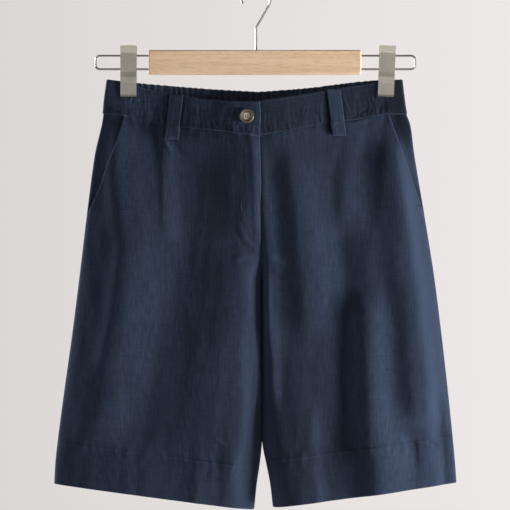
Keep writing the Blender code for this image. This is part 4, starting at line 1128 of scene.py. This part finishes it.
def waistband_front(side):
    w = edge_rows(BAND_ROWS)
    c = stretches(BAND_COLUMNS, (0.0008, 0.002, 0.004))
    stations = [(side, band_share(side, c))]
    if side == LEFT:
        back_to = np.linspace(1, UNDERLAP_FROM["band"], 24)
        stations.append((RIGHT, band_share(RIGHT, back_to)))
    inner, outer, wear_and_shade_values = [], [], []
    for half, f in stations:
        f = f[None, :] + 0 * w
        top, seam = band_edges(half, FRONT, f)
        z = top + (seam - top) * w
        off = np.minimum(top - z, z - seam)
        rise = band_lift(side, f, z) if half == side else 0.0 * f
        if half == RIGHT:
            end = (1 - f) if side == RIGHT else (f - f.min())
            off = np.minimum(off, end * width_of(half, z))
        folded = round_edge(off, EDGE_ROUND)
        x = across_at(half, f, z)
        drawn = [(BAND_PUCKER, z - seam - at, 60 + 4 * n + (half == RIGHT))
                 for n, at in enumerate(ROWS_AT_SEAM + (BAND_WRINKLES,))]
        drawn.append((EDGE_PUCKER, z - top + ROW_AT_TOP, 80 + (half == RIGHT)))
        pulled = sum(pucker_row(kind, x, row, seed) for kind, row, seed in drawn)
        pulled = pulled * ease(off / BAND_CALM) * (half == side)
        stitched = sum(bell(z - seam - at, STITCH_PAINTED_SHADE_WIDTH) for at in ROWS_AT_SEAM)
        patches = sum(rubbed_and_shaded(kind, x, row, seed) for kind, row, seed in drawn)
        lap = FLY_LAP * bell((1 - f) * width_of(half, z), FLY_LAP_REACH) * (side == RIGHT)
        for rows, k in ((inner, -1), (outer, 1)):
            points = skin(half, FRONT, f, z, rise + BAND * (0.5 + k * 0.5 * folded) + pulled)
            points[..., 0] += lap
            rows.append(points)
        # edges rubbed pale, pucker crests rubbed with painted shade between them, and painted
        # shade along the stitch rows and beside the belt loops
        edge = bell(off, BAND_RUB_WIDTH)
        wear_and_shade_values.append(np.clip(edge * (0.30 + 0.50 * patches) + (1 - edge) * patches
                            + STITCH_PAINTED_SHADE * stitched + painted_shade_beside_loops(FRONT, x, z, seam),
                            -1, 1))
    inner, outer, wear_and_shade_values = side_by_side(inner, outer, wear_and_shade_values)
    u, v = grain(outer)
    made = wall("linen_waistband_front_" + name_of(side), inner, outer, v, u, wear_and_shade_values)
    dress(made, "waistband_front_" + name_of(side),
          linen("linen_band_" + name_of(side), tone=BAND_LIT_AND_SHADED_TONE[side]))


for side in (RIGHT, LEFT):
    waistband_front(side)


# ---------------------------------------------------------------- back waistband
# One long strip round the back, drawn in by an elastic inside it. It comes round to
# the front under the clips, where it is plain, and meets the front bands there.

BACK_BAND_ROWS = 16
BACK_BAND_STEPS = 11    # columns on each gather
BACK_BAND_WRAP = 16
WRAP_PAINTED_SHADE = -1.0       # painted shade on its plain end beside the left clip
SCALLOP = 0.0004        # the gathers lift the upper edge this much
BACK_BAND_PLAIN = (0.0, 0.001, 0.003, 0.006, 0.011, 0.019, 0.03, 0.045, 0.065, 0.085, 0.105,
                   0.125, 0.143)


def band_swell(f):
    """0 where the back band is plain, 1 where the elastic gathers it."""
    return ease((f - GATHER_START) / 0.08)


def waistband_back():
    w = edge_rows(BACK_BAND_ROWS)
    waved = np.linspace(GATHER_START, 1, GATHERS * BACK_BAND_STEPS + 1)
    half = np.concatenate((BACK_BAND_PLAIN, waved))
    wraps = {side: share_at(side, BAND_SEAM[side], BAND_MIDDLE)
             * (1 - np.linspace(0, 1, BACK_BAND_WRAP + 1)) ** 1.5 for side in (RIGHT, LEFT)}
    stations = ((RIGHT, FRONT, wraps[RIGHT]), (RIGHT, BACK, half[:-1]),
                (LEFT, BACK, half[::-1]), (LEFT, FRONT, wraps[LEFT][::-1]))
    inner, outer, wear_and_shade_values, painted_light_inside = [], [], [], []
    for side, face, f in stations:
        f = f[None, :] + 0 * w
        top, seam = band_edges(side, face, f)
        z = top + (seam - top) * w
        off = np.minimum(top - z, z - seam)
        folded = round_edge(off, EDGE_ROUND)
        swell = band_swell(f) if face == BACK else 0.0 * f
        height = swell * gather_wave(side, f, z)
        for rows, k in ((inner, -1), (outer, 1)):
            points = skin(side, face, f, z, BAND * (0.5 + k * 0.5 * folded))
            points[..., 1] += GATHER_RISE * height
            points[..., 2] += SCALLOP * height * ease(1 - w / 0.25)
            rows.append(points)
        # edges and gather crests a little rubbed, painted shade on the plain end beside the
        # left clip, and painted light on the inside of the gathered part
        wear_and_shade_values.append(0.30 * bell(off, BAND_RUB_WIDTH) + 0.05 * swell * np.clip(height, 0, 1) ** 2
                    + WRAP_PAINTED_SHADE * ((side, face) == (LEFT, FRONT)))
        painted_light_inside.append(swell * np.clip(1.40 - 0.80 * height, 0, 2))
    inner, outer, wear_and_shade_values, painted_light_inside = side_by_side(inner, outer, wear_and_shade_values, painted_light_inside)
    u, v = grain(outer)
    made = wall("linen_waistband_back", inner, outer, v, u, wear_and_shade_values, painted_light_inside)
    # a darker tone for the back band: painted shade
    dress(made, "waistband_back", linen("linen_band_back", tone=0.80))


waistband_back()


# ---------------------------------------------------------------- belt loops
# Five folded strips with a row of stitches along each edge. They are tacked at the
# top of the band and across its seam, and their folded ends hang free below.

LOOP = 0.0018
LOOP_TOP_DROP, LOOP_BOW = 0.0005, 0.0008
LOOP_END_RISE = 0.0008          # its folded end stands off the cloth
LOOP_TACKED, LOOP_TACKED_REACH = 0.0004, 0.03   # the tack across the seam holds it down
LOOP_ROUND = 0.0012
LOOP_COLUMNS, LOOP_ROWS = 16, 76
LOOP_ROW = 0.0022       # stitches this far from a loop's edge, which draw in a dent
LOOP_DENT, LOOP_DENT_WIDTH = 0.00022, 0.00063246


def halves(x, z, shift=0.0):
    """Each side with the points that are on it."""
    middle = read(CENTRE, z, "across") + shift
    return (RIGHT, x < middle), (LEFT, x >= middle)


def on_cloth(face, x, z, lift):
    """Points of the front or back at x and z, for what lies on it."""
    x, z, lift = np.broadcast_arrays(np.asarray(x, float), z, lift)
    made = np.empty(x.shape + (3,))
    for side, chosen in halves(x, z):
        if chosen.any():
            made[chosen] = skin(side, face, share_at(side, x[chosen], z[chosen]), z[chosen],
                                lift[chosen])
    return made


def edges_under(carrier):
    """Heights of the band's upper edge and seam under a belt loop."""
    side = RIGHT if carrier.across_top < 0 else LEFT
    return band_edges(side, carrier.face, share_at(side, carrier.across_top, BAND_MIDDLE))


def loop_place(carrier, across, down):
    """Middle-plane place and lift on a loop; across -1 to 1, down 0 to 1."""
    top, seam = edges_under(carrier)
    low = seam - LOOP_TAIL
    z = top - LOOP_TOP_DROP + (low - top + LOOP_TOP_DROP) * down
    tack = (seam - top) / (low - top)
    x = (carrier.across_top + (carrier.across_low - carrier.across_top) * down
         + LOOP_WIDTH / 2 * across)
    lift = (BAND + SEAM + carrier.clear + LOOP_BOW * np.sin(math.pi * down)
            + LOOP_END_RISE * ease((down - tack) / (1 - tack))
            - LOOP_TACKED * bell(down - tack, LOOP_TACKED_REACH) + 0.0 * across)
    return x, z, lift, tack


def belt_loop(carrier):
    across = np.array([-1, -0.985, -0.95, -0.90, *np.linspace(-0.82, 0.82, LOOP_COLUMNS),
                       0.90, 0.95, 0.985, 1])[None, :]
    down = np.array([0, 0.003, 0.008, 0.015, *np.linspace(0.03, 0.97, LOOP_ROWS),
                     0.985, 0.992, 0.997, 1])[:, None]
    x, z, lift, _ = loop_place(carrier, across, down)
    x, z = x + 0 * z, z + 0 * x
    from_edge = (1 - np.abs(across)) * LOOP_WIDTH / 2
    off = np.minimum(from_edge, np.minimum(down, 1 - down) * (z.max() - z.min()))
    folded = round_edge(off, LOOP_ROUND)
    dent = LOOP_DENT * bell(from_edge - LOOP_ROW, LOOP_DENT_WIDTH)
    inner = on_cloth(carrier.face, x, z, lift + LOOP * (0.5 - 0.5 * folded))
    outer = on_cloth(carrier.face, x, z, lift + LOOP * (0.5 + 0.5 * folded) - dent)
    u, v = grain(outer)
    # paler along the edges, with painted shade in the dents of the stitch rows and along the
    # tack across the band's seam
    wear_and_shade_values = (0.75 * bell(off, 0.0013) - 0.45 * bell(from_edge - 0.0024, 0.0007)
            - 0.60 * bell(z - float(edges_under(carrier)[1]), 0.0010))
    made = wall("linen_" + carrier.name, inner, outer, u + carrier.across_top, v,
                np.clip(wear_and_shade_values, -1, 1))
    dress(made, carrier.name)


for carrier in LOOPS:
    belt_loop(carrier)


# ---------------------------------------------------------------- topstitching
# Navy thread a shade lighter than the cloth, in stitches of 3 mm: along the bands,
# the fly, the pocket mouths, the hems and the loops, with dense tacks at strained ends.

THREAD = 0.00024        # half its thickness
STITCH, STITCH_SPACE = 0.0030, 0.0006
THREAD_SIDES = 5
TACK_PITCH = 0.00045
PROBE = 0.0001          # a second point this far out tells which way the cloth faces
# Share of the length, share of the thickness and height of the rings of a stitch
STITCH_SHAPE = ((0.0, 0.45, -0.7), (0.14, 1.0, 0.35), (0.5, 1.0, 0.75), (0.86, 1.0, 0.35),
                (1.0, 0.45, -0.7))


def curve_through(places, step=0.0006):
    """Even steps along a smooth line through given points."""
    places = np.array(places, float)
    lengths = np.concatenate(([0], np.cumsum(np.linalg.norm(np.diff(places, axis=0), axis=1))))
    at = np.arange(0, lengths[-1], step)
    slopes = np.gradient(places, lengths, axis=0)
    i = np.clip(np.searchsorted(lengths, at) - 1, 0, len(lengths) - 2)
    span = (lengths[i + 1] - lengths[i])[:, None]
    return between(places, slopes, i, span, (at - lengths[i])[:, None] / span)


class Thread:
    """Stitches that are gathered up and then made into one piece."""

    def __init__(self):
        self.points, self.faces = [], []

    def stitch(self, start, end, out, radius=THREAD):
        """One stitch from point to point, its ends sunk in the cloth."""
        along = end - start
        size = np.linalg.norm(along)
        along = along / size
        out = out - along * np.dot(out, along)
        out = out / np.linalg.norm(out)
        across = np.cross(along, out)
        first = len(self.points) * THREAD_SIDES
        angles = np.arange(THREAD_SIDES)[:, None] * 2 * math.pi / THREAD_SIDES
        for share, thick, high in STITCH_SHAPE:
            middle = start + along * size * share + out * radius * high
            self.points.append(middle + radius * thick * (
                np.cos(angles) * out + np.sin(angles) * across))
        last = first + (len(STITCH_SHAPE) - 1) * THREAD_SIDES
        for ring in range(first, last, THREAD_SIDES):
            for n in range(THREAD_SIDES):
                a, b = ring + n, ring + (n + 1) % THREAD_SIDES
                self.faces.append((a, b, b + THREAD_SIDES, a + THREAD_SIDES))
        self.faces.append(tuple(range(first + THREAD_SIDES - 1, first - 1, -1)))
        self.faces.append(tuple(range(last, last + THREAD_SIDES)))

    def row(self, surface, places):
        """Even stitches along a line; surface(x, z, extra) gives points of the cloth."""
        line = curve_through(places)
        self.lay(surface, line[:, 0], line[:, 1], 0.0004)

    def row_at(self, surface, side, shares, z):
        self.row(surface, np.stack((across_at(side, shares, z), z), axis=-1))

    def lay(self, surface, first, second, start, on_swells=True):
        """Even stitches, lifted where the cloth swells between their ends."""
        low, high = (surface(first, second, extra) for extra in (0.0, PROBE))
        steps = np.concatenate(([0], np.cumsum(np.linalg.norm(np.diff(low, axis=0), axis=1))))
        starts = np.arange(start, steps[-1] - STITCH, STITCH + STITCH_SPACE)

        def at(grid, where):
            return np.stack([np.interp(where, steps, grid[:, k]) for k in range(3)], axis=-1)

        middles = at(low, starts + STITCH / 2)
        for one, two, three, above in zip(at(low, starts), at(low, starts + STITCH),
                                          middles, at(high, starts + STITCH / 2)):
            up = (above - three) / np.linalg.norm(above - three)
            raised = up * max(np.dot(three - (one + two) / 2, up), 0.0) * on_swells
            self.stitch(one + raised, two + raised, up)

    def cross(self, surface, one, two, place, raise_by, radius):
        """A stitch between two places that stands square to the cloth at a third."""
        first, second = np.transpose([one, two, place])
        ends = surface(first, second, 0.0)
        up = surface(first[2:], second[2:], PROBE)[0] - ends[2]
        raised = up / np.linalg.norm(up) * raise_by
        self.stitch(ends[0] + raised, ends[1] + raised, up, radius)

    def tack(self, surface, start, end, width, pitch=TACK_PITCH):
        """A dense bar of short cross stitches from one place to another."""
        count = int(math.hypot(end[0] - start[0], end[1] - start[1]) / pitch)
        line = np.linspace(start, end, count + 1)
        way = (line[-1] - line[0]) / np.linalg.norm(line[-1] - line[0])
        side_step = np.array([-way[1], way[0]]) * width / 2
        for n, place in enumerate(line):
            lean = way * pitch * (0.5 if n % 2 else -0.5)
            self.cross(surface, place - side_step - lean, place + side_step + lean, place,
                       0.0002, THREAD * 0.85)

    def make(self, name, finish):
        mesh = bpy.data.meshes.new(name)
        mesh.from_pydata(np.concatenate(self.points).tolist(), [], self.faces)
        mesh.shade_smooth()
        made = in_scene(name, mesh)
        made.data.materials.append(finish)
        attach(made, "root")


def thread_material(name, colour):
    made, tree = new_material(name)
    fluff = noise(tree, Scale=900)
    shades = (0.35, [c * 0.7 for c in colour]), (0.65, [c * 1.3 for c in colour])
    return surfaced(made, {
        "Base Color": ramp(tree, fluff, shades), "Normal": bumped(tree, fluff, 0.00006),
        "Roughness": 0.6, "Specular IOR Level": 0.35})


navy_thread = thread_material("navy_thread", (0.026, 0.038, 0.072))


def on_front(x, z, extra):
    """Outside of the fronts, as lifted at the fly and the pockets."""
    x, z = np.broadcast_arrays(np.asarray(x, float), z)
    lift = np.empty(x.shape)
    for side, chosen in halves(x, z, FLY_LAP):
        f = np.clip(share_at(side, x[chosen], z[chosen]), 0, 1)
        lift[chosen] = front_lift(side, f, z[chosen])
    return on_cloth(FRONT, x, z, lift + CLOTH + extra)


def on_back(x, z, extra):
    """Outside of the backs, with the gathers."""
    x, z = np.broadcast_arrays(np.asarray(x, float), z)
    made = on_cloth(BACK, x, z, CLOTH + extra)
    for side, chosen in halves(x, z):
        f = np.clip(share_at(side, x[chosen], z[chosen]), 0, 1)
        made[chosen, 1] += back_gathers(side, f, z[chosen])
    return made


def on_band(side, face):
    """Outside of a waistband."""
    def surface(x, z, extra):
        f = np.clip(share_at(side, x, z), 0, 1)
        lift = band_lift(side, f, z) if face == FRONT else 0.0 * f
        made = skin(side, face, f, z, lift + BAND + extra)
        if face == BACK:
            made[..., 1] += band_swell(f) * GATHER_RISE * gather_wave(side, f, z)
        return made
    return surface


band_thread = Thread()
for side in (RIGHT, LEFT):
    near = share_at(side, BAND_SEAM[side] - side * 0.002, BAND_MIDDLE)
    far = share_at(side, 0.0030 if side == RIGHT else 0.0065, BAND_MIDDLE)
    shares = np.linspace(near, far, 24)
    top, seam = band_edges(side, FRONT, shares)
    for z in [top - ROW_AT_TOP] + [seam + off for off in ROWS_AT_SEAM]:
        band_thread.row_at(on_band(side, FRONT), side, shares, z)
    shares = np.linspace(0.03, 1, 40)
    band_thread.row_at(on_band(side, BACK), side, shares,
                       waist_seam(side, BACK, shares) + ROWS_AT_SEAM[0])
    x = BAND_SEAM[side] - side * 0.0022
    f = share_at(side, x, BAND_MIDDLE)
    top, seam = band_edges(side, FRONT, f)
    band_thread.row(on_band(side, FRONT), [(x, top - 0.002), (x, seam + 0.002)])
band_thread.make("thread_waistband", navy_thread)

fly_thread = Thread()
for places in FLY_ROWS:
    fly_thread.row(on_front, places)
fly_thread.tack(on_front, (0.0030, -0.3130), (0.0030, -0.3210), 0.0020)
fly_thread.tack(on_front, (-0.0185, -0.2700), (-0.0175, -0.2790), 0.0018)
fly_thread.make("thread_fly", navy_thread)

pocket_thread = Thread()
MOUTH_ROW = 0.0022      # stitches this far from the mouth's edge
for side in (RIGHT, LEFT):
    heights = np.linspace(-0.1640, POCKET_END + 0.004, 16)
    x = across_at(side, mouth_share(side, heights), heights) - side * MOUTH_ROW
    pocket_thread.row(on_front, np.stack((x, heights), axis=-1))
    for at in (1, -2):
        start = (x[at] - side * 0.0035, heights[at] - 0.0008)
        pocket_thread.tack(on_front, (x[at] + side * 0.0012, heights[at]), start, 0.0022)
pocket_thread.make("thread_pockets", navy_thread)

hem_thread = Thread()
for side in (RIGHT, LEFT):
    shares = np.linspace(0.004, 0.985, 40)
    for surface in (on_front, on_back):
        hem_thread.row_at(surface, side, shares, hem_stitches(side, shares))
hem_thread.make("thread_hems", navy_thread)


def on_loop(carrier):
    """Outside of a belt loop, by shares across and down."""
    def surface(across, down, extra):
        x, z, lift, _ = loop_place(carrier, across, down)
        return on_cloth(carrier.face, x, z, lift + LOOP - 0.00015 + extra)
    return surface


loop_thread = Thread()
for carrier in LOOPS:
    surface = on_loop(carrier)
    tack = float(loop_place(carrier, 0.0, 0.0)[3])
    row = 1 - LOOP_ROW / (LOOP_WIDTH / 2)
    line = np.linspace(0.02, 0.985, 30)
    for across in (-row, row):
        loop_thread.lay(surface, np.full(len(line), across), line, 0.0003, on_swells=False)
    for down, reach in ((0.045, 0.80), (tack, 0.86), (0.955, 0.55)):
        places = np.linspace(-reach, reach, int(reach * LOOP_WIDTH / TACK_PITCH))
        for n, across in enumerate(places):
            lean = 0.012 if n % 2 else -0.012
            loop_thread.cross(surface, (across - lean, down - 0.016),
                              (across + lean, down + 0.016), (across, down), 0.0, THREAD * 0.8)
loop_thread.make("thread_belt_loops", navy_thread)


# ---------------------------------------------------------------- buttonhole and button
# A horizontal buttonhole bound with close stitches, and a dished horn button with
# four holes, sewn to the left band under it and standing on the right one.

BUTTON_ACROSS, BUTTON_HEIGHT = -0.0110, -0.1638
BUTTON_RADIUS, BUTTON_THICK = 0.0092, 0.0034
BUTTON_HOLE, BUTTON_HOLE_SPREAD = 0.0011, 0.0019
HOLE_FROM, HOLE_TO, HOLE_HALF = -0.0232, -0.0035, 0.0012
hole_thread = Thread()
band_right = on_band(RIGHT, FRONT)
for row in (-HOLE_HALF, HOLE_HALF):
    hole_thread.tack(band_right, (HOLE_FROM, BUTTON_HEIGHT + row),
                     (HOLE_TO, BUTTON_HEIGHT + row), 0.0019, 0.00042)
for end in (HOLE_FROM, HOLE_TO):
    hole_thread.tack(band_right, (end, BUTTON_HEIGHT - 2 * HOLE_HALF),
                     (end, BUTTON_HEIGHT + 2 * HOLE_HALF), 0.0016, 0.00042)
hole_thread.make("thread_buttonhole", navy_thread)


def horn():
    made, tree = new_material("button_horn")
    place = add_node(tree, "ShaderNodeTexCoord").outputs["Object"]
    flat = add_node(tree, "ShaderNodeVectorMath", {0: place, 1: (1, 1, 0)},
                    operation="MULTIPLY")
    far = add_node(tree, "ShaderNodeVectorMath", {0: flat.outputs[0]}, operation="LENGTH")
    clouds = noise(tree, Scale=420, Detail=4, Distortion=1.2)
    mottle = add_node(tree, "ShaderNodeMath", {0: clouds, 1: 0.56, 2: -0.28},
                      operation="MULTIPLY_ADD")
    reach = add_node(tree, "ShaderNodeMath", {
        0: far.outputs["Value"], 1: 1 / BUTTON_RADIUS, 2: mottle.outputs[0]},
        operation="MULTIPLY_ADD")
    rings = ((0.00, (0.93, 0.88, 0.78)), (0.36, (0.86, 0.79, 0.67)), (0.50, (0.24, 0.18, 0.13)),
             (0.66, (0.075, 0.058, 0.044)), (0.80, (0.20, 0.165, 0.125)),
             (0.93, (0.055, 0.043, 0.034)))
    return surfaced(made, {
        "Base Color": ramp(tree, reach.outputs[0], rings),
        "Normal": bumped(tree, clouds, 0.00005), "Roughness": 0.28, "Coat Weight": 0.35,
        "Coat Roughness": 0.15})


def settled(name, mesh):
    """An object of the scene from a mesh under construction, which is freed."""
    data = bpy.data.meshes.new(name)
    mesh.to_mesh(data)
    mesh.free()
    return in_scene(name, data)


def button():
    profile = ((0, 0), (0.80, 0), (0.90, 0.10), (0.97, 0.30), (1.0, 0.55), (0.985, 0.76),
               (0.94, 0.93), (0.88, 1.0), (0.81, 1.0), (0.74, 0.93), (0.68, 0.78),
               (0.60, 0.66), (0.50, 0.61), (0.30, 0.60), (0, 0.60))
    turns = 64
    angles = [2 * math.pi * n / turns for n in range(turns)]
    mesh = bmesh.new()
    rings = []
    for r, t in profile:
        rings.append([mesh.verts.new((r * BUTTON_RADIUS * math.cos(a),
                                      r * BUTTON_RADIUS * math.sin(a), t * BUTTON_THICK))
                      for a in (angles if r else [0])])
    for low, high in zip(rings, rings[1:]):
        for n in range(turns):
            m = (n + 1) % turns
            if len(low) == 1:
                mesh.faces.new((low[0], high[m], high[n]))
            elif len(high) == 1:
                mesh.faces.new((low[n], low[m], high[0]))
            else:
                mesh.faces.new((low[n], low[m], high[m], high[n]))
    bmesh.ops.recalc_face_normals(mesh, faces=mesh.faces)
    made = settled("horn_button", mesh)
    drills = bmesh.new()
    for n in range(4):
        angle = math.radians(45 + 90 * n)
        spot = (BUTTON_HOLE_SPREAD * math.cos(angle), BUTTON_HOLE_SPREAD * math.sin(angle),
                0.001)
        ends = bmesh.ops.create_cone(drills, cap_ends=True, segments=24, radius1=BUTTON_HOLE,
                                     radius2=BUTTON_HOLE, depth=0.01)
        bmesh.ops.translate(drills, verts=ends["verts"], vec=spot)
    cutter = settled("drills", drills)
    cut = made.modifiers.new("holes", "BOOLEAN")
    cut.operation = "DIFFERENCE"
    cut.object = cutter
    bpy.context.view_layer.update()
    pierced = bpy.data.meshes.new_from_object(
        made.evaluated_get(bpy.context.evaluated_depsgraph_get()))
    made.modifiers.clear()
    made.data = pierced
    bpy.data.objects.remove(cutter)
    pierced.shade_smooth()
    pierced.set_sharp_from_angle(angle=math.radians(35))

    def band(dx, dz):
        z = BUTTON_HEIGHT + dz
        f = share_at(RIGHT, np.array([BUTTON_ACROSS + dx]), z)
        return Vector(skin(RIGHT, FRONT, f, z, 2 * BAND + SEAM)[0])

    reach = BUTTON_RADIUS
    across = band(reach, 0) - band(-reach, 0)
    up = band(0, reach) - band(0, -reach)
    out = across.cross(up).normalized()
    around = [math.radians(30 * n) for n in range(12)]
    proud = max((band(reach * math.cos(a), reach * math.sin(a)) - band(0, 0)).dot(out)
                for a in around)
    made.location = band(0, 0) + out * (proud + SEAM)
    made.rotation_euler = out.to_track_quat("Z", "Y").to_euler()
    made.data.materials.append(horn())
    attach(made, "root")
    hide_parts("button")
    return made


horn_button = button()
bpy.context.view_layer.update()
button_thread = Thread()
STRANDS_APART = 0.00046
seat = horn_button.matrix_world
for row in (-1, 1):
    reach = BUTTON_HOLE_SPREAD * math.cos(math.radians(45))
    for strand in (-0.5, 0.5):
        offset = row * reach + strand * STRANDS_APART
        ends = [np.array(seat @ Vector((offset, k * (reach - 0.0003), BUTTON_THICK * 0.62)))
                for k in (-1, 1)]
        button_thread.stitch(*ends, np.array(seat.to_3x3() @ Vector((0, 0, 1))))
button_thread.make("thread_button", thread_material("sand_thread", (0.46, 0.40, 0.31)))


# ---------------------------------------------------------------- hanger bar
# A straight bar of pale beech, planed and lacquered, with the grain along it. It is
# drilled for the hook and for the two wire loops.

def beech():
    made, tree = new_material("beech")
    rings = noise(tree, (7, 60, 190), Scale=1.0, Detail=3, Distortion=0.6)
    flecks = noise(tree, (120, 900, 1500), Scale=1.0, Detail=2, Distortion=0.0)
    wood = ramp(tree, rings, ((0.30, (0.700, 0.480, 0.300)), (0.70, (0.840, 0.630, 0.430))))
    pores = ramp(tree, flecks, ((0.56, (1, 1, 1)), (0.68, (0.80, 0.71, 0.62))))
    return surfaced(made, {
        "Base Color": mixed(tree, 1.0, wood, pores, blend_type="MULTIPLY"),
        "Normal": bumped(tree, flecks, 0.00008, Strength=0.5), "Roughness": 0.42,
        "Coat Weight": 0.15, "Coat Roughness": 0.35})


def give(finish, *nodes):
    for node in nodes:
        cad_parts[node].material_slots[0].material = finish


give(beech(), "hanger_bar")


# ---------------------------------------------------------------- hook and wire loops
# Round steel wire, nickel plated: a hook let into the top of the bar, and a loop let
# into each end, on which a clip slides.

def metal(name, colour, roughness, brushed, direction):
    """Plated steel; brushed is the height of its fine scratches along one direction."""
    made, tree = new_material(name)
    fine = noise(tree, direction, Scale=1.0, Detail=3)
    shades = (0.3, [c * 0.90 for c in colour]), (0.7, [c * 1.06 for c in colour])
    rough = add_node(tree, "ShaderNodeMapRange", {
        "Value": fine, "To Min": roughness - 0.06, "To Max": roughness + 0.08})
    return surfaced(made, {
        "Base Color": ramp(tree, noise(tree, Scale=90), shades),
        "Roughness": rough.outputs[0], "Normal": bumped(tree, fine, brushed),
        "Metallic": 1.0})


give(metal("nickel_wire", (0.56, 0.53, 0.49), 0.30, 0.00001, (300, 300, 300)),
     "hanger_hook", "hanger_wire_right", "hanger_wire_left")


# ---------------------------------------------------------------- clips
# Each clip is a slider on the wires and two jaws of folded sheet steel, brushed along
# their length and plated, which pinch the waistband near the side seam.

give(metal("brushed_clip", (0.81, 0.77, 0.69), 0.40, 0.00002, (2600, 2600, 30)),
     "clip_slider_right", "clip_slider_left", "clip_jaw_right_front",
     "clip_jaw_right_back", "clip_jaw_left_front", "clip_jaw_left_back")


# ---------------------------------------------------------------- studio
# A level camera straight in front, a pale floor far below, a strong soft light low on
# the right, weak ones from the left, the front and behind, and a pale wall.

CAMERA_AT = (-0.00125, -4.20, -0.33563)
LENS = 238.0
camera_data = bpy.data.cameras.new("camera")
camera_data.lens = LENS
camera_data.sensor_width = 36
camera = in_scene("camera", camera_data)
camera.location = CAMERA_AT
camera.rotation_euler = (math.radians(90), 0, 0)
bpy.context.scene.camera = camera

MIDDLE_OF_CLOTH = Vector((0, 0, -0.36))
for name, place, size, watts, colour in (
        ("window", (2.30, -0.60, -0.80), (0.8, 1.2), 158, (1.0, 0.985, 0.96)),
        ("wall_bounce", (-2.1, -0.45, -0.1), (1.0, 1.6), 14, (0.98, 0.98, 1.0)),
        ("front_card", (0.7, -4.5, -0.2), (3.0, 3.0), 8, (1.0, 0.99, 0.97)),
        ("back_fill", (-1.7, 1.2, 0.2), (1.0, 1.2), 60, (1.0, 0.99, 0.97))):
    light = bpy.data.lights.new(name, "AREA")
    light.shape = "RECTANGLE"
    light.size, light.size_y = size
    light.energy = watts
    light.color = colour
    lamp = in_scene(name, light)
    lamp.location = place
    lamp.rotation_euler = (MIDDLE_OF_CLOTH - Vector(place)).to_track_quat("-Z", "Y").to_euler()

FLOOR_HEIGHT, FLOOR_REACH, FLOOR_CORNERS = -1.25, 2.4, 96
floor_data = bpy.data.meshes.new("floor")
around = [2 * math.pi * n / FLOOR_CORNERS for n in range(FLOOR_CORNERS)]
floor_data.from_pydata([(FLOOR_REACH * math.cos(a), FLOOR_REACH * math.sin(a), FLOOR_HEIGHT)
                        for a in around], [], [tuple(range(FLOOR_CORNERS))])
floor = in_scene("floor", floor_data)
plaster = {"Base Color": (0.55, 0.535, 0.52, 1), "Roughness": 0.9}
floor.data.materials.append(surfaced(new_material("pale_floor")[0], plaster))

WALL_SHADED, WALL_LIT = (0.715, 0.680, 0.662), (0.850, 0.812, 0.805)
WALL_SPAN = 0.076       # the wall brightens over this much each side of straight ahead
AMBIENT = 0.13          # of a middle colour reaches the cloth from all round
world = bpy.data.worlds.new("surroundings")
world.use_nodes = True
bpy.context.scene.world = world
tree = world.node_tree
tree.nodes.clear()
direction = add_node(tree, "ShaderNodeTexCoord").outputs["Generated"]
across = add_node(tree, "ShaderNodeSeparateXYZ", {0: direction}).outputs[0]
share = add_node(tree, "ShaderNodeMapRange", {
    "Value": across, "From Min": -WALL_SPAN, "From Max": WALL_SPAN}).outputs[0]
seen = add_node(tree, "ShaderNodeBackground", {
    "Color": mixed(tree, share, (*WALL_SHADED, 1), (*WALL_LIT, 1))})
middle_colour = [(a + b) / 2 for a, b in zip(WALL_SHADED, WALL_LIT)] + [1]
ambient = add_node(tree, "ShaderNodeBackground", {"Color": middle_colour, "Strength": AMBIENT})
chosen = add_node(tree, "ShaderNodeMixShader", {
    0: add_node(tree, "ShaderNodeLightPath").outputs["Is Camera Ray"],
    1: ambient.outputs[0], 2: seen.outputs[0]})
add_node(tree, "ShaderNodeOutputWorld", {"Surface": chosen.outputs[0]})

view = bpy.context.scene.view_settings
view.view_transform = "Standard"
view.look = "None"
view.exposure = 0.0
view.gamma = 1.0
